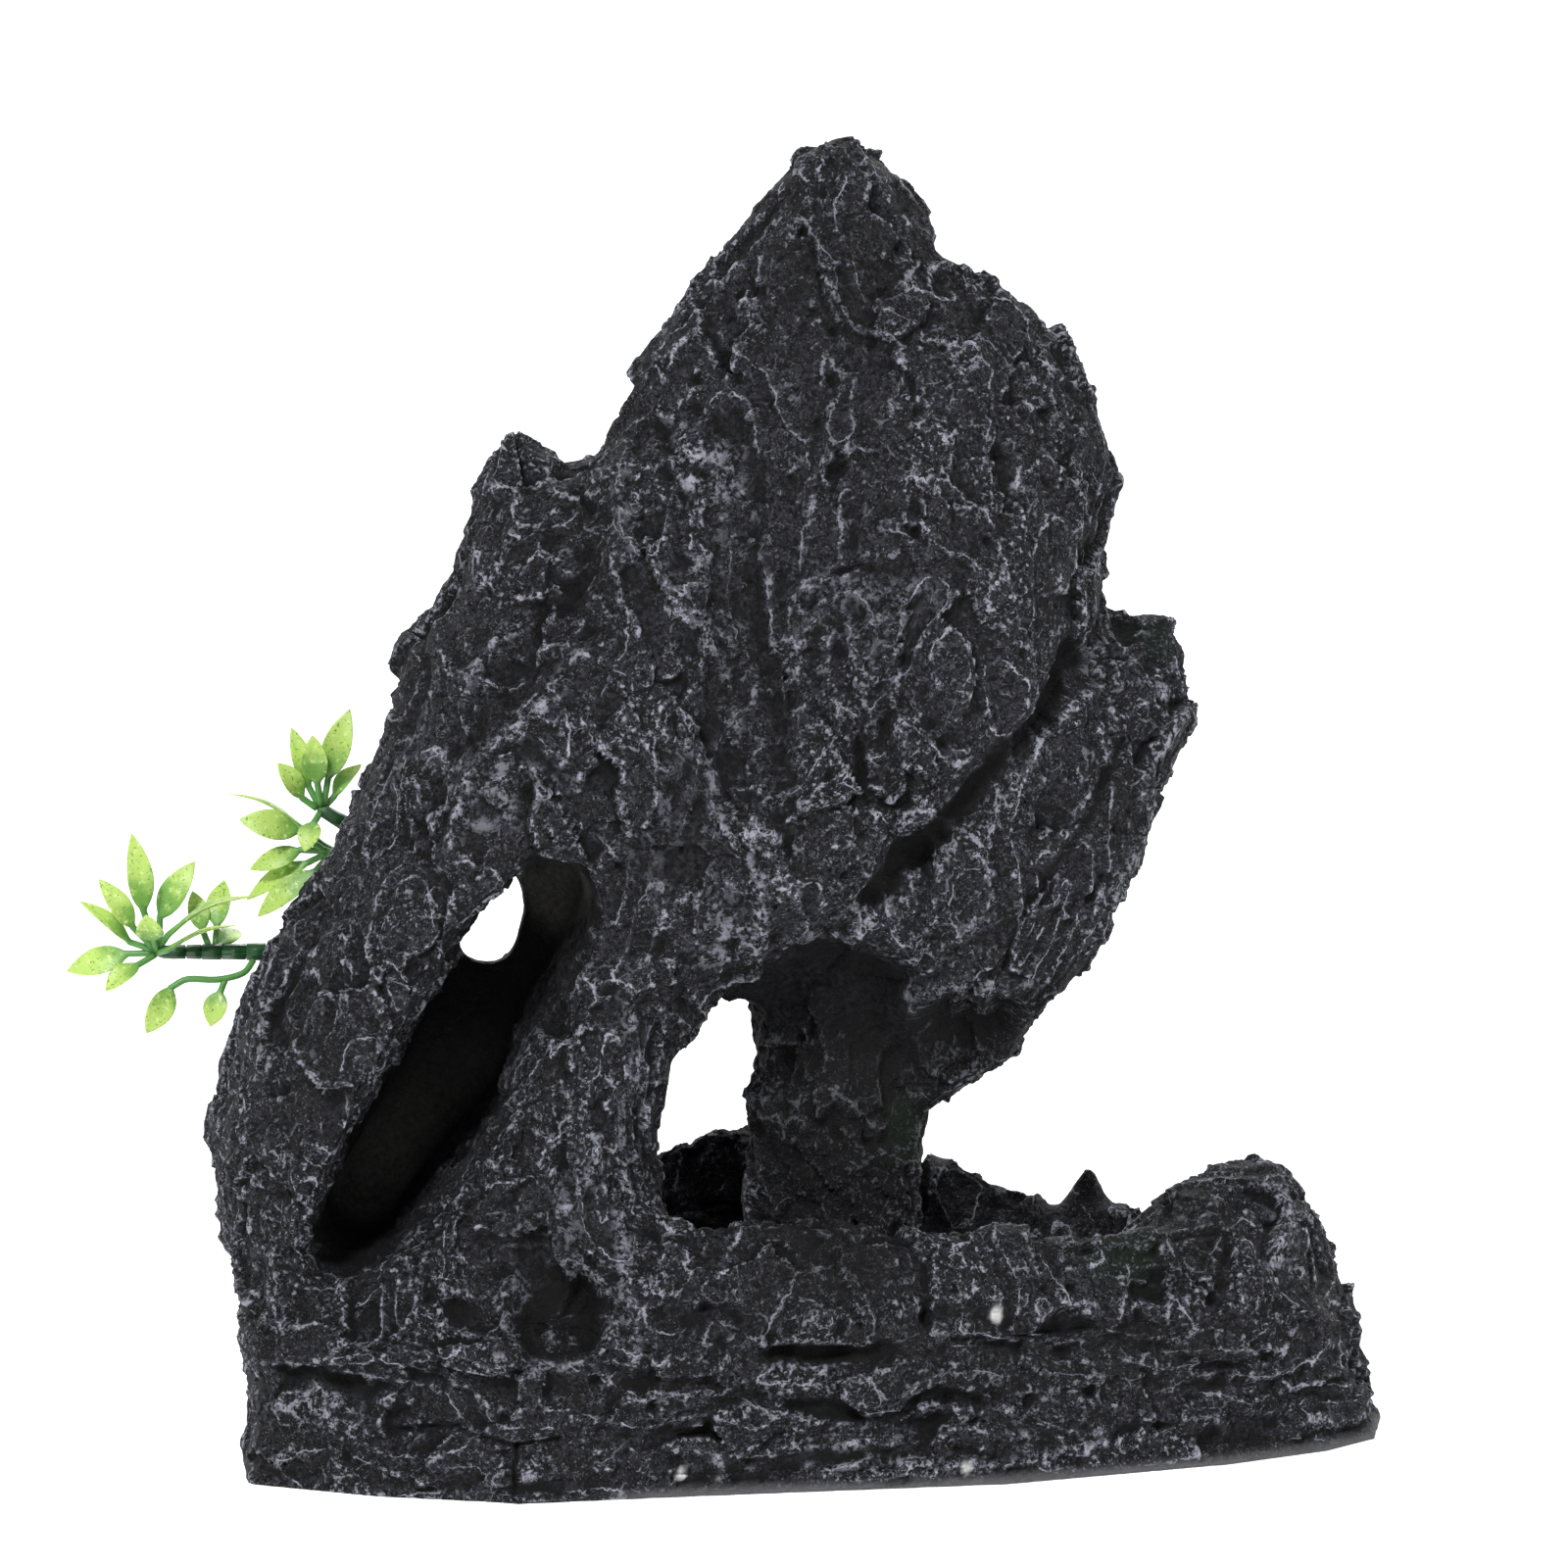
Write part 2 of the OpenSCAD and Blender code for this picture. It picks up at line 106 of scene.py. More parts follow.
def make_studio():
    scene = bpy.context.scene
    scene.view_settings.view_transform = "Standard"
    world = bpy.data.worlds.new("studio")
    world.use_nodes = True
    world.node_tree.nodes["Background"].inputs["Color"].default_value = (1, 1, 1, 1)
    world.node_tree.nodes["Background"].inputs["Strength"].default_value = WORLD_GLOW
    scene.world = world
    for name, place, size, power in LIGHTS:
        area_light(name, place, size, power)
    backdrop("floor", (0, 0, 0), (0, 0, 0), FLOOR_GLOW)
    backdrop("far_wall", (0, WALL_DISTANCE, 0), (math.radians(90), 0, 0), WALL_GLOW)


def backdrop(name, place, turn, glow):
    """A white plane that glows a little, so that it stays white where a shadow falls."""
    bpy.ops.mesh.primitive_plane_add(size=BACKDROP_SIZE, location=place, rotation=turn)
    plane = bpy.context.object
    plane.name = name
    paint = bpy.data.materials.new(name)
    paint.use_nodes = True
    shader = paint.node_tree.nodes["Principled BSDF"]
    shader.inputs["Base Color"].default_value = (0.8, 0.8, 0.8, 1)
    shader.inputs["Roughness"].default_value = 0.9
    shader.inputs["Emission Color"].default_value = (1, 1, 1, 1)
    shader.inputs["Emission Strength"].default_value = glow
    plane.data.materials.append(paint)


# ---------------------------------------------------------------- arrays and noise


def read(items, name, width=1, kind=np.float32):
    """One attribute of a mesh's vertices, edges or faces, as an array."""
    out = np.empty(len(items) * width, kind)
    items.foreach_get(name, out)
    return out.reshape(-1, width) if width > 1 else out


def points(mesh):
    return read(mesh.vertices, "co", 3).astype(float)


def normals(mesh):
    return read(mesh.vertex_normals, "vector", 3).astype(float)


def ramp(low, high, x):
    """0 below low, 1 above high, and a smooth rise between them."""
    t = np.clip((x - low) / (high - low), 0, 1)
    return t * t * (3 - 2 * t)


def hashed(cell, seed):
    """A repeatable whole number for each cell of a lattice."""
    x, y, z = (cell[:, k].astype(np.uint32) for k in range(3))
    h = x * np.uint32(0x8DA6B343) ^ y * np.uint32(0xD8163841) ^ z * np.uint32(0xCB1AB31F)
    h ^= np.uint32((seed * 0x9E3779B1) & 0xFFFFFFFF)
    h = (h ^ (h >> np.uint32(13))) * np.uint32(0x85EBCA6B)
    return h ^ (h >> np.uint32(16))


def noise(p, size, seed):
    """Smooth noise from about -1 to 1, whose bumps are about `size` across."""
    q = p / size
    low = np.floor(q)
    f = q - low
    cell = low.astype(np.int64)
    w = f * f * f * (f * (f * 6 - 15) + 10)
    total = np.zeros(len(p))
    for corner in itertools.product((0, 1), repeat=3):
        h = hashed(cell + np.array(corner), seed)
        slope = np.stack([(h >> np.uint32(10 * k)) & np.uint32(1023) for k in range(3)], 1) / 511.5 - 1
        share = np.prod(np.where(corner, w, 1 - w), 1)
        total += share * np.sum(slope * (f - corner), 1)
    return total * 1.7


def layered(p, size, seed, layers, keep=0.5):
    """Noise with finer and weaker noise added to it."""
    total = np.zeros(len(p))
    for k in range(layers):
        total += keep**k * noise(p, size / 2**k, seed + 17 * k)
    return total


def neighbours_mean(values, edges):
    """Each vertex's mean over the vertices that it shares an edge with."""
    a, b = edges[:, 0], edges[:, 1]
    count = np.bincount(a, minlength=len(values)) + np.bincount(b, minlength=len(values))
    columns = values.reshape(len(values), -1)
    out = np.empty_like(columns)
    for k in range(columns.shape[1]):
        c = columns[:, k]
        out[:, k] = (np.bincount(a, c[b], len(c)) + np.bincount(b, c[a], len(c))) / np.maximum(count, 1)
    return out.reshape(values.shape)


def relaxed(values, edges, rounds):
    for _ in range(rounds):
        values = 0.5 * values + 0.5 * neighbours_mean(values, edges)
    return values


def far_from_line(u, v, line):
    """Distance of each point (u, v) from a line through a few points."""
    best = np.full(len(u), 1e9)
    for (u0, v0), (u1, v1) in zip(line, line[1:]):
        du, dv = u1 - u0, v1 - v0
        t = np.clip(((u - u0) * du + (v - v0) * dv) / (du * du + dv * dv), 0, 1)
        best = np.minimum(best, np.hypot(u - u0 - t * du, v - v0 - t * dv))
    return best


# ---------------------------------------------------------------- the rock's form, in millimetres

ROCK_SEED = 5
SPIKE = (48.5, 27.6, 29.0)  # the small spike's middle, which is too thin for the full relief

# Tooled marks on the plain side: [half-width, height (below 0 for a groove), pale paint from 0
# to 1, line in x and z]
MARKS = [
    [1.6, 1.0, 0.5, [(-5, 76), (4, 78), (13, 85), (19, 93)]],
    [2.4, -3.6, 0.0, [(46, 124), (39, 116), (30, 107), (22, 98), (14, 88)]],
    [1.0, -1.2, 0.0, [(52, 112), (46, 100), (40, 92)]],
    [2.0, 1.2, 0.3, [(-26, 152), (-12, 157), (-8, 150), (-10, 141), (-15, 134), (-22, 140), (-26, 152)]],
    [1.8, -1.8, 0.0, [(-2, 21), (6, 20), (14, 22)]],
    [1.6, -2.2, 0.0, [(22, 27), (30, 27), (36, 25)]],
    [2.2, -2.4, 0.0, [(38, 23), (47, 24), (56, 22)]],
    [1.2, -1.6, 0.0, [(2, 13), (14, 12), (22, 14), (33, 12)]],
    [1.4, -1.5, 0.0, [(-76, 18), (-64, 16), (-52, 18)]],
    [0.4, -1.3, 0.0, [(-41, -1), (-41, 4), (-40.5, 9)]],
    [0.8, 0.5, 0.9, [(38, 114), (30, 109), (22, 101)]],
    [1.1, 0.9, 0.9, [(-50, 98), (-48, 107), (-43, 113), (-37, 117), (-31, 126)]],
    [2.4, -2.0, 0.0, [(-54, 101), (-51, 110), (-45, 117), (-36, 124)]],
    [0.9, -0.8, 0.0, [(-39, 106), (-34, 101)]],
    [0.8, -0.7, 0.0, [(-37, 111), (-33, 107)]],
    [0.9, -0.9, 0.0, [(-25, 112), (-15, 105)]],
    [0.8, -0.7, 0.0, [(-28, 118), (-22, 111)]],
    [0.8, -0.6, 0.0, [(-30, 99), (-26, 97)]],
    [0.9, -0.6, 0.0, [(-20, 108), (-15, 103)]],
    [1.2, 1.1, 0.9, [(-18, 115), (-14, 112), (-11, 107), (-10, 103), (-8, 99), (-4, 93)]],
    [1.2, 0.9, 0.9, [(-4, 93), (-4, 88), (-3, 82), (-6, 75)]],
    [1.0, 0.8, 0.9, [(-14, 133), (-12, 128), (-9, 123), (-7, 115)]],
    [1.4, -1.2, 0.0, [(-4, 155), (-4, 136), (-2, 118), (0, 98)]],
    [1.1, -0.9, 0.0, [(0, 143), (-1, 121), (2, 103)]],
    [1.0, -0.7, 0.0, [(5, 136), (4, 118), (7, 106)]],
    [1.0, 0.6, 0.6, [(-43, 22), (-38, 20), (-31, 20), (-27, 22)]],
    [1.0, -1.0, 0.0, [(-19, 159), (-12, 152)]],
    [1.0, -1.0, 0.0, [(-19, 153), (-11, 145)]],
    [
        0.9, 0.7, 0.9,
        [(48, 124), (54, 121), (59, 118), (60, 113), (57, 106), (56, 99), (52, 91), (46, 83)],
    ],
    [1.2, 1.0, 0.7, [(20, 73), (27, 74), (35, 74), (39, 75)]],
    [1.6, 0.8, 1.0, [(78, 40), (79, 35), (77, 29)]],
    [1.2, -1.6, 0.0, [(31, 21), (42, 19), (52, 20), (68, 15), (76, 15)]],
    [1.2, 1.0, 0.7, [(-24, 74), (-22, 60), (-24, 42), (-24, 29), (-22, 21)]],
    [1.0, 0.8, 0.8, [(-30, 56), (-28, 50), (-31, 46), (-34, 41)]],
    [0.8, 0.6, 0.7, [(-36, 50), (-34, 42)]],
    [0.7, 0.5, 0.8, [(-10, 3), (-1, 5), (8, 4), (30, 3), (49, 5)]],
    [0.7, 0.5, 0.7, [(5, 7), (15, 6), (24, 9), (39, 7)]],
    [2.4, -1.8, 0.0, [(-30, 141), (-35, 130), (-44, 121)]],
    [1.0, 0.8, 0.8, [(-49, 121), (-44, 127), (-39, 131)]],
    [1.0, 0.7, 0.6, [(-71, 91), (-60, 107), (-54, 120)]],
    [0.45, -1.2, 0.0, [(-59, 10), (-49, 11), (-41, 9), (-34, 10)]],
]

# Hollows pressed into the plain side: [x, z, half-width, half-height, depth]
HOLLOWS = [
    [-34, 28, 8, 7, 6.0],
    [4, 21, 7, 2.2, 2.2],
    [29, 66, 10, 7, 6.0],
    [44, 24, 5, 3, 2.0],
    [58, 29, 6, 3, 2.0],
    [-10, 26, 6, 4, 1.8],
    [-52, 27, 10, 4, 1.6],
    [14, 112, 4, 9, 2.0],
    [-58, 118, 4, 10, 2.0],
    [30, 150, 6, 12, 1.6],
]

# Painted shade on parts of the plain side that lie in shadow, such as the pillar under the arch: [x, z,
# half-width, half-height, amount]
PAINTED_SHADE_PATCHES = [
    [9, 50, 18, 26, 0.95], [29, 64, 14, 10, 0.9], [-34, 27, 11, 10, 0.7], [45, 18, 40, 7, 0.45],
    [4, 25, 26, 6, 0.4], [8, 185, 14, 16, 0.3], [-58, 12, 30, 5, 0.3], [42, 70, 13, 9, 0.75],
    [62, 36, 12, 7, 0.6], [-62, 126, 8, 22, 0.35], [26, 102, 6, 8, 0.4], [-28, 140, 9, 14, 0.4],
    [-74, 60, 9, 20, 0.35], [52, 100, 9, 12, 0.3],
]

# Parts of the plain side that took more of the dry brush: [x, z, half-width, half-height, amount]
BRUSHED = [
    [-12, 153, 9, 8, 1.0], [12, 134, 13, 9, 0.45], [-7, 83, 7, 9, 0.6], [-42, 106, 13, 7, 0.45],
    [-18, 100, 9, 12, 0.45], [-33, 44, 6, 12, 0.3], [80, 36, 4, 8, 0.7], [9, 83, 9, 6, 0.35],
]

# Small chips down to the white resin, the last a painted highlight on a shiny bubble near the peak, and
# faint green tints: [x, z, radius]
CHIPS_AND_GLINT = [[33, 26.5, 1.3], [28, 3.2, 1.1], [-15.5, 3.3, 1.1], [22, 192, 0.9]]
MOSSY = [[60, 127, 7], [20, 48, 6], [53, 36, 9], [55, 88, 6]]

# Round bubbles left by the casting: [x, z, radius, depth]
BUBBLES = [
    [3, 188, 1.1, 1.2], [18, 186, 0.9, 1.0], [13, 172, 1.2, 1.2], [24, 171, 1.0, 1.0],
    [5, 160, 0.9, 0.9], [20, 162, 1.1, 1.0], [31, 143, 1.0, 1.0], [10, 150, 0.8, 0.8],
    [36, 126, 0.9, 0.9], [22, 116, 1.0, 0.9], [-12, 29, 1.2, 1.2], [-2, 24, 1.2, 1.2],
    [22, 26, 1.3, 1.4], [47, 13, 1.4, 1.6], [38, 12, 1.4, 1.4], [55, 25, 1.1, 1.2],
    [66, 26, 1.2, 1.2], [-76, 60, 1.0, 1.0], [-20, 14, 1.1, 1.0], [-45, 152, 0.9, 1.0],
]


def rock_nodes():
    """The rock's castings: the nodes with the painted resin slot."""
    subparts = frame["record"]["subparts"]
    return [s["node"] for s in subparts if s["material_slot"] == "painted_resin"]


def blank(nodes):
    """Every casting in one closed, evenly meshed body, ready to be carved."""
    places, faces, start = [], [], 0
    for node in nodes:
        mesh = frame["nodes"][node].data
        places.append(read(mesh.vertices, "co", 3))
        faces += [[start + v for v in face.vertices] for face in mesh.polygons]
        start += len(mesh.vertices)
    joined = bpy.data.meshes.new("joined")
    joined.from_pydata(np.concatenate(places).tolist(), [], faces)
    body = bpy.data.objects.new("joined", joined)
    mesh = remeshed(body, BLANK_VOXEL)
    swell(mesh, VALLEY_FILL)
    mesh = remeshed(bpy.data.objects.new("swollen", mesh), RELIEF_VOXEL)
    swell(mesh, -VALLEY_FILL)
    return mesh


def remeshed(body, voxel):
    """An object's mesh made again with evenly spaced vertices, `voxel` millimetres apart."""
    bpy.context.scene.collection.objects.link(body)
    remesh = body.modifiers.new("remesh", "REMESH")
    remesh.mode = "VOXEL"
    remesh.voxel_size = voxel * MM
    mesh = applied(body)
    bpy.data.objects.remove(body)
    return mesh


def slender(p):
    """1 at the small spike, whose form is too thin to be worked over, and 0 elsewhere."""
    off_axis = np.hypot(p[:, 0] - SPIKE[0], p[:, 1] - SPIKE[1])
    return (1 - ramp(5, 9, off_axis)) * ramp(SPIKE[2] - 5, SPIKE[2], p[:, 2])


def swell(mesh, amount):
    """Moves the surface out (or back in) evenly, which closes the narrow valleys between masses."""
    edges = read(mesh.edges, "vertices", 2, np.int32)
    p = points(mesh)
    free = (ramp(1, 8, p[:, 2] / MM) * (1 - slender(p / MM)))[:, None]
    p += free * (relaxed(p, edges, 6) - p)
    mesh.vertices.foreach_set("co", p.ravel())
    mesh.update()
    n = relaxed(normals(mesh), edges, 4)
    p += free * n * amount * MM / np.maximum(np.linalg.norm(n, axis=1), 1e-6)[:, None]
    mesh.vertices.foreach_set("co", p.ravel())
    mesh.update()


def applied(thing):
    """The mesh that an object's modifiers give."""
    view = bpy.context.evaluated_depsgraph_get()
    return bpy.data.meshes.new_from_object(thing.evaluated_get(view))


def buried(p, n, spread):
    """How far each surface point lies in a hollow: near 0 on an open face, near 1 deep inside.

    The solid is rebuilt on a coarse grid from its surface normals and blurred by `spread`, and
    read a little way out from the surface."""
    cell = 2.0
    margin = 30.0
    low = p.min(0) - margin
    shape = np.ceil((p.max(0) - low + margin) / cell).astype(int)
    index = np.ravel_multi_index(tuple(((p - low) / cell).astype(int).T), shape)
    waves = np.meshgrid(*(2 * math.pi * np.fft.fftfreq(m, cell) for m in shape), indexing="ij")
    square = sum(w * w for w in waves)
    square[0, 0, 0] = 1
    total = np.zeros(shape, complex)
    patch = RELIEF_VOXEL**2 / cell**3
    for k in range(3):
        field = np.bincount(index, -n[:, k] * patch, int(np.prod(shape))).reshape(shape)
        total += -1j * waves[k] * np.fft.fftn(field)
    solid = np.real(np.fft.ifftn(total / square * np.exp(-square * spread**2 / 2)))
    solid -= solid[0, 0, 0]
    q = (p + n * spread - low) / cell
    base = np.clip(np.floor(q).astype(int), 0, shape - 2)
    f = q - base
    out = np.zeros(len(p))
    for corner in itertools.product((0, 1), repeat=3):
        share = np.prod(np.where(corner, f, 1 - f), 1)
        out += share * solid[tuple((base + np.array(corner)).T)]
    return out


def pitted(p, seed, size, radius, chance):
    """Depth from 0 to 1 of small round pits, one in some cells of a lattice."""
    depth = np.zeros(len(p))
    cell = np.floor(p / size).astype(np.int64)
    for step in itertools.product((-1, 0, 1), repeat=3):
        near = cell + np.array(step)
        h = hashed(near, seed)
        centre = near + np.stack([(h >> np.uint32(8 * k)) & np.uint32(255) for k in range(3)], 1) / 255
        far = np.linalg.norm(p - centre * size, axis=1)
        present = (h >> np.uint32(24)) < 255 * chance
        depth = np.maximum(depth, present * (1 - ramp(0.55 * radius, radius, far)))
    return depth


def chipped(p, size, seed, step, tilt):
    """Flat, tilted chips about `size` across, each up to `step` in or out of the surface."""
    nearest = np.full(len(p), 1e9)
    height = np.zeros(len(p))
    cell = np.floor(p / size).astype(np.int64)
    for move in itertools.product((-1, 0, 1), repeat=3):
        near = cell + np.array(move)
        h = hashed(near, seed)
        g = hashed(near, seed + 1)
        shares = [(word >> np.uint32(8 * k)) & np.uint32(255) for word in (h, g) for k in range(3)]
        shares = np.stack(shares, 1) / 127.5 - 1
        away = p - (near + 0.5 + 0.45 * shares[:, :3]) * size
        far = np.sum(away * away, 1)
        level = step * ((g >> np.uint32(24)) / 127.5 - 1) + tilt * np.sum(away * shares[:, 3:], 1)
        closer = far < nearest
        height[closer] = level[closer]
        nearest[closer] = far[closer]
    return height


def carve(mesh):
    """Gives the blank its rock surface, and stores what its paint needs as attributes."""
    edges = read(mesh.edges, "vertices", 2, np.int32)
    p = points(mesh) / MM
    p += (ramp(1, 6, p[:, 2]) * (1 - 0.85 * slender(p)))[:, None] * (relaxed(p, edges, 16) - p)
    p[:, 2] -= 1.2 * (1 - ramp(0.4, 6, p[:, 2]))  # the smoothing lifts the foot off the ground
    grounded = p[:, 2] < 0.3
    p[grounded, 2] = 0
    mesh.vertices.foreach_set("co", (p * MM).ravel())
    mesh.update()
    n = relaxed(normals(mesh), edges, 8)
    n /= np.maximum(np.linalg.norm(n, axis=1), 1e-6)[:, None]

    hidden = buried(p, n, 5.0)
    inside = ramp(0.55, 0.8, hidden)
    plain_side = ramp(0.1, 0.5, -n[:, 1]) * (p[:, 1] < 14)
    base = 1 - ramp(20, 27, p[:, 2])
    footing = ramp(0.2, 2.5, p[:, 2])
    x, z = p[:, 0], p[:, 2]

    # Places pushed about a little, so that what is drawn at them has no straight or even edges
    drift = np.stack([noise(p, 14, ROCK_SEED + k) for k in range(3)], 1)
    warped = p + 2.2 * drift
    tall = warped * np.array([1, 1, 0.55])
    flat = warped * np.array([0.45, 0.45, 1.5])

    # Broad lumps, terraces with torn edges, flat chips, grain, and level beds low down
    lumps = 1.3 * layered(p, 26, ROCK_SEED + 10, 2)
    field = 1.9 * layered(tall, 16, ROCK_SEED + 20, 2) * (1 - base)
    field += 1.5 * layered(flat, 14, ROCK_SEED + 30, 2) * base
    field += 0.12 * layered(p, 2.6, ROCK_SEED + 25, 2)
    terrace = np.floor(field) + ramp(0.3, 0.62, field - np.floor(field))
    scarps = 1.0 * (terrace - 0.45 * field)
    jagged = warped + 0.7 * np.stack([noise(p, 3, ROCK_SEED + 3 + k) for k in range(3)], 1)
    chips = chipped(jagged * np.array([1, 1, 0.6]), 10, ROCK_SEED + 41, 0.7, 0.16) * (1 - base)
    flatter = (jagged + 2 * drift) * np.array([0.6, 0.6, 1.3])
    chips += chipped(flatter, 9, ROCK_SEED + 43, 0.9, 0.12) * base
    chips += chipped(jagged, 4.2, ROCK_SEED + 45, 0.28, 0.16)
    grain = 0.5 * layered(p, 3.2, ROCK_SEED + 50, 3, 0.65)
    rough = 0.35 + 0.95 * ramp(-0.3, 0.5, noise(p, 22, ROCK_SEED + 60))
    beds = 0.8 * layered(p * np.array([0.16, 0.16, 1]), 5.5, ROCK_SEED + 70, 2) * base

    height = lumps + scarps + chips + grain * rough + beds
    pits = pitted(p, ROCK_SEED + 80, 6.0, 1.3, 0.22)
    pits *= ramp(0.1, 0.5, noise(p, 30, ROCK_SEED + 81) + 0.25)
    height -= 1.1 * pits

    # The marks, hollows and patches that have their own places
    tooled = np.zeros(len(p))
    wobble_x = x + 0.9 * drift[:, 0]
    wobble_z = z + 0.9 * drift[:, 1]
    for half, rise, pale, line in MARKS:
        across = np.exp(-((far_from_line(wobble_x, wobble_z, line) / half) ** 2)) * plain_side
        height += rise * across
        tooled = np.maximum(tooled, pale * across)
    for hx, hz, wide, high, deep in HOLLOWS:
        away = np.hypot((wobble_x - hx) / wide, (wobble_z - hz) / high)
        height -= deep * (1 - ramp(0.6, 1.1, away)) * plain_side
    # Painted shade: how far each vertex lies in the patches above
    painted_shade = np.zeros(len(p))
    for sx, sz, wide, high, amount in PAINTED_SHADE_PATCHES:
        away = np.hypot((x + 4 * drift[:, 0] - sx) / wide, (z + 3 * drift[:, 1] - sz) / high)
        painted_shade = np.maximum(painted_shade, amount * (1 - ramp(0.5, 1.1, away)))
    for bx, bz, wide, high, amount in BRUSHED:
        away = np.hypot((x + 4 * drift[:, 0] - bx) / wide, (z + 4 * drift[:, 1] - bz) / high)
        tooled = np.maximum(tooled, amount * (1 - ramp(0.4, 1.1, away)) * plain_side)
    for hx, hz, radius, deep in BUBBLES:
        height -= deep * (1 - ramp(0.5 * radius, radius, np.hypot(x - hx, z - hz))) * plain_side

    # Less relief inside the cave and on the spike, and none on the ground
    height -= TRIM * (1 - ramp(0.15, 0.4, hidden))
    height = height * (1 - 0.75 * inside) * (1 - 0.85 * slender(p)) * footing
    moved = p + n * height[:, None]
    moved[:, 2] = np.maximum(moved[:, 2], 0)
    moved[grounded] = p[grounded]
    mesh.vertices.foreach_set("co", (moved * MM).ravel())
    mesh.update()

    store(mesh, "buried", hidden)
    # Lift and bulk say how far a vertex stands out of its near and its wider surroundings, in mm
    store(mesh, "lift", height - relaxed(height, edges, 8))
    store(mesh, "bulk", height - relaxed(height, edges, 90))
    store(mesh, "field", field)
    store(mesh, "tooled", tooled)
    store(mesh, "painted_shade", painted_shade)
    store(mesh, "rim", (1 - ramp(0.9, 1.5, z)) * ramp(-30, -18, x))
    for name, spots in (("chip_and_glint", CHIPS_AND_GLINT), ("moss", MOSSY)):
        spread = [1 - ramp(0.5 * r, r, np.hypot(wobble_x - sx, wobble_z - sz)) for sx, sz, r in spots]
        store(mesh, name, np.max(spread, axis=0) * plain_side)
    store(mesh, UNCUT, np.ones(len(p)))
    mesh.shade_smooth()
    return mesh


def store(mesh, name, values):
    mesh.attributes.new(name, "FLOAT", "POINT").data.foreach_set("value", values.astype(np.float32))


# ---------------------------------------------------------------- parting the rock into its castings

# Castings in the order they are taken off, with the sides that a seam cuts. A lean is a seam's
# angle from upright in degrees, about a point in x and z, as in the CAD model.
PARTINGS = [
    ["base_corner", "+x +z"],
    ["base_plate", "+z"],
    ["rear_spike", "-y -z"],
    ["right_knoll", "-x"],
    ["front_wall", "-x +y"],
    ["rear_wall", "-x -y"],
    ["basin_floor", "-x +z"],
    ["left_plinth", "+z"],
    ["pillar", "-x +x +z"],
    ["right_shoulder", "lean"],
    ["cave_outer_wall", "lean"],
    ["cave_inner_leg", "+x +z"],
    ["left_spur", "+x -z"],
    ["right_crest", "-x"],
    ["buttress", "+x +z"],
]
LEANS = {
    "right_shoulder": [38, (20, 92), (0, 250), (-48, 250)],
    "cave_outer_wall": [32, (-52, 64), (-250, 0), (-250, 50)],
}
# How far the zones of low castings reach above them in mm, so that no relief is left behind
LOW_CASTINGS = {"rear_spike": 12.0, "right_knoll": 3.0, "front_wall": 3.0, "rear_wall": 3.0}
SPIKE_ROOM = 2.0  # mm of room at each side of the small spike
FAR = 0.4  # metres, past everything


def zone(node, sides):
    """A box round one casting that reaches far out wherever no seam cuts it."""
    low, high = [list(corner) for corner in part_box(node)]
    lean = 0
    pivot = (0, 0)
    if sides == "lean":
        lean, pivot, (x0, x1), (z0, z1) = LEANS[node]
        low, high = [x0 * MM, -FAR, z0 * MM], [x1 * MM, FAR, z1 * MM]
    else:
        for k, axis in enumerate("xyz"):
            if "-" + axis not in sides:
                low[k] = -FAR
            if "+" + axis not in sides:
                high[k] = FAR
        if node in LOW_CASTINGS:
            high[2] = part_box(node)[1].z + LOW_CASTINGS[node] * MM
        if node == "rear_spike":
            low[0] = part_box(node)[0].x - SPIKE_ROOM * MM
            high[0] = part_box(node)[1].x + SPIKE_ROOM * MM
    which = itertools.product((0, 1), repeat=3)
    corners = [Vector([(low, high)[bit][k] for k, bit in enumerate(bits)]) for bits in which]
    turn = Matrix.Rotation(math.radians(lean), 4, "Y")
    shift = Vector((pivot[0] * MM, 0, pivot[1] * MM))
    mesh = bpy.data.meshes.new("zone")
    quads = [(0, 1, 3, 2), (4, 6, 7, 5), (0, 4, 5, 1), (2, 3, 7, 6), (0, 2, 6, 4), (1, 5, 7, 3)]
    mesh.from_pydata([(turn @ c) + shift for c in corners], [], quads)
    box = bpy.data.objects.new("zone", mesh)
    bpy.context.scene.collection.objects.link(box)
    return box


def cut(mesh, box, operation):
    """What a boolean step with a box leaves of a mesh."""
    thing = bpy.data.objects.new("cut", mesh)
    bpy.context.scene.collection.objects.link(thing)
    step = thing.modifiers.new("cut", "BOOLEAN")
    step.solver = "MANIFOLD"
    step.operation = operation
    step.object = box
    result = applied(thing)
    bpy.data.objects.remove(thing)
    return result


# ---------------------------------------------------------------- planting, in millimetres

LEAF_STEPS = 18
LEAF_SIDES = 16
STEM_SIDES = 48
STALK_R = 0.5
LEAF_T = 0.75  # a blade's thickness at its midrib
CUP = 0.28  # how far a blade's edges lift, as a share of its half-width
MIDRIB = 0.16  # how deep the groove along a blade is

